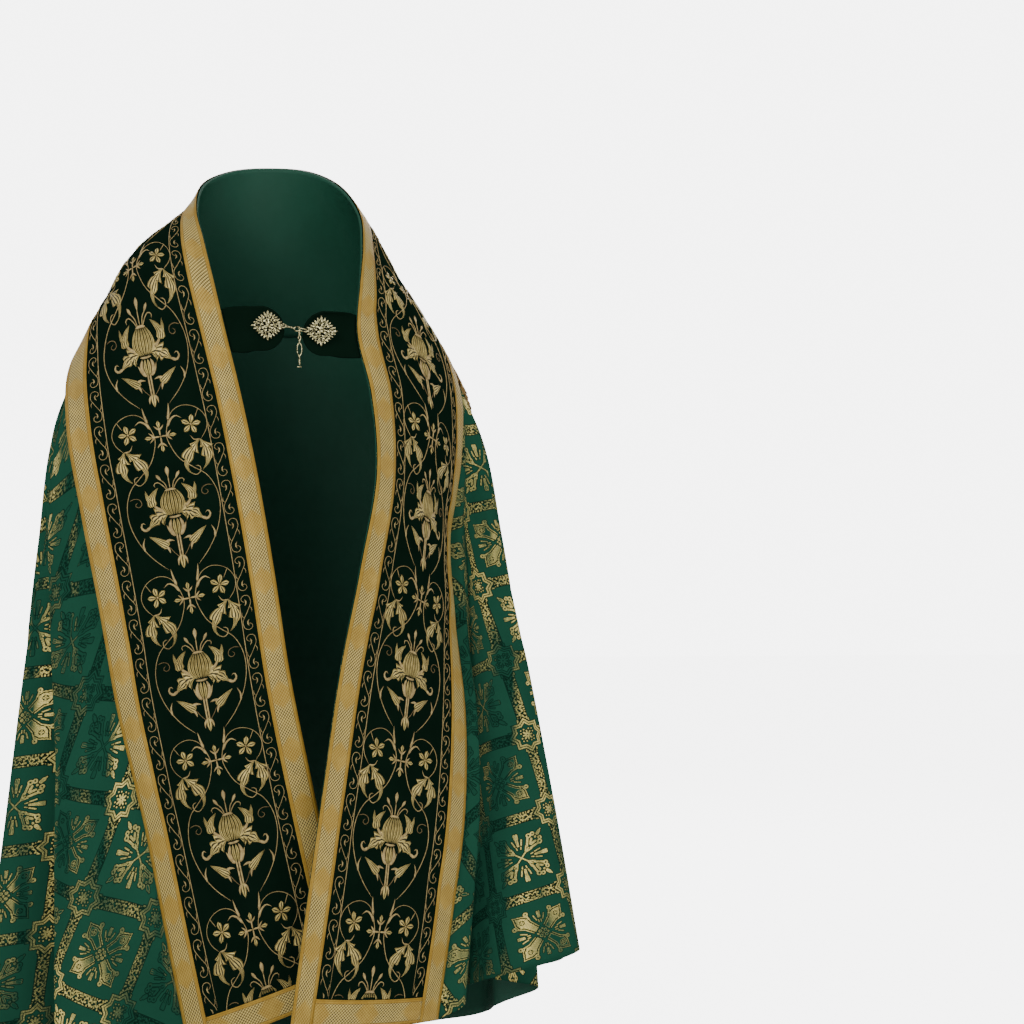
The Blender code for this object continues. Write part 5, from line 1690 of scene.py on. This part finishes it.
def add_stage():
    """A plain pale floor, soft studio lights in an even white room, and the camera."""
    signs = ((-1, -1), (1, -1), (1, 1), (-1, 1))
    corners = [(x * FLOOR_REACH, y * FLOOR_REACH, FLOOR_HEIGHT) for x, y in signs]
    made = Finish("floor", Base_Color=(0.86, 0.86, 0.85, 1.0), Roughness=0.8,
                  Emission_Color=(1.0, 1.0, 1.0, 1.0))
    made.set("Emission Strength", made.field("ShaderNodeLightPath", out="Is Camera Ray") * FLOOR_GLOW)
    made.material.cycles.emission_sampling = "NONE"
    add_mesh("floor", corners, [(0, 1, 2, 3)], [made.material])
    world = bpy.data.worlds.new("soft white room")
    bpy.context.scene.world = world
    world.use_nodes = True
    tree = world.node_tree
    seen = Field(tree, add_node(tree, "ShaderNodeLightPath").outputs["Is Camera Ray"])
    strength = add_node(tree, "ShaderNodeMix", {"Factor": seen, "A": ROOM_LIGHT, "B": ROOM_SEEN})
    back = tree.nodes["Background"].inputs
    feed(tree, back["Color"], (1.0, 1.0, 1.0, 1.0))
    feed(tree, back["Strength"], Field(tree, strength.outputs["Result"]))
    for name, place, size, power in LIGHTS:
        light = bpy.data.lights.new(name, "AREA")
        light.energy, light.size = power, size
        lamp = add_object(name, light)
        lamp.location = place
        lamp.rotation_euler = (Vector((0, 0, -0.5)) - Vector(place)).to_track_quat("-Z", "Y").to_euler()
    camera = bpy.data.cameras.new("camera")
    camera.lens, camera.sensor_width = LENS, 36.0
    eye = add_object("camera", camera)
    eye.location = (0.0, -VIEW_DISTANCE, VIEW_HEIGHT)
    eye.rotation_euler = (math.radians(90), 0.0, -VIEW_YAW)
    bpy.context.scene.camera = eye


def keep(piece, slot, *nodes):
    """A finished piece rides on the one body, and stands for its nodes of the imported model."""
    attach(piece, "root")
    if nodes:
        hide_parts(*nodes)
    return piece


def dress():
    """All pieces of the cope."""
    add_stage()
    band = Surface(steps(-BAND_LENGTH, BAND_LENGTH, 0.004), steps(0, BAND_WIDTH, 0.004), band_point, CREASES)
    hood = Surface(steps(-0.36, 0.36, 0.006), steps(0, 0.60, 0.006), hood_point, HOOD_CREASES)
    cloak = keep(add_cloak(), "brocade", "cope_body")
    for node, piece in add_bands(band).items():
        if node.startswith("orphrey"):
            slot, cut = "velvet", (BAND_WIDTH, BAND_LENGTH)
        elif node == "collar_lining":
            slot, cut = "lining", (2 * LINING_REACH, BAND_WIDTH)
        elif node in ("braid_inner", "braid_outer"):
            slot, cut = "braid", (BRAID_WIDTH, 2 * BAND_LENGTH)
        else:
            slot, cut = "braid", (BRAID_WIDTH, BAND_WIDTH - 2 * BRAID_WIDTH)
        keep(piece, slot, node)
    velvet, braid = add_hood(hood)
    keep(velvet, "velvet", "hood")
    keep(braid, "braid", "hood_braid")
    keep(add_fringe(hood, repeat_tree("repeat along a path")), "fringe", "hood_fringe")
    for side in ("right", "left"):
        keep(add_band_embroidery(band, side), "braid")
        keep(add_borders(band, side), "braid")
    keep(add_emblem(hood), "braid")
    for morse in MORSES:
        tab = keep(add_tab(morse), "velvet", f"morse_tab_{morse.side}")
        front = min(v.co.y for v in tab.data.vertices) - 0.0006
        keep(add_clasp(morse, front), "gilt", f"morse_clasp_{morse.side}")
    hook, chain = add_hook_and_chain()
    keep(hook, "gilt", "morse_hook")
    keep(chain, "gilt", "morse_chain")


dress()
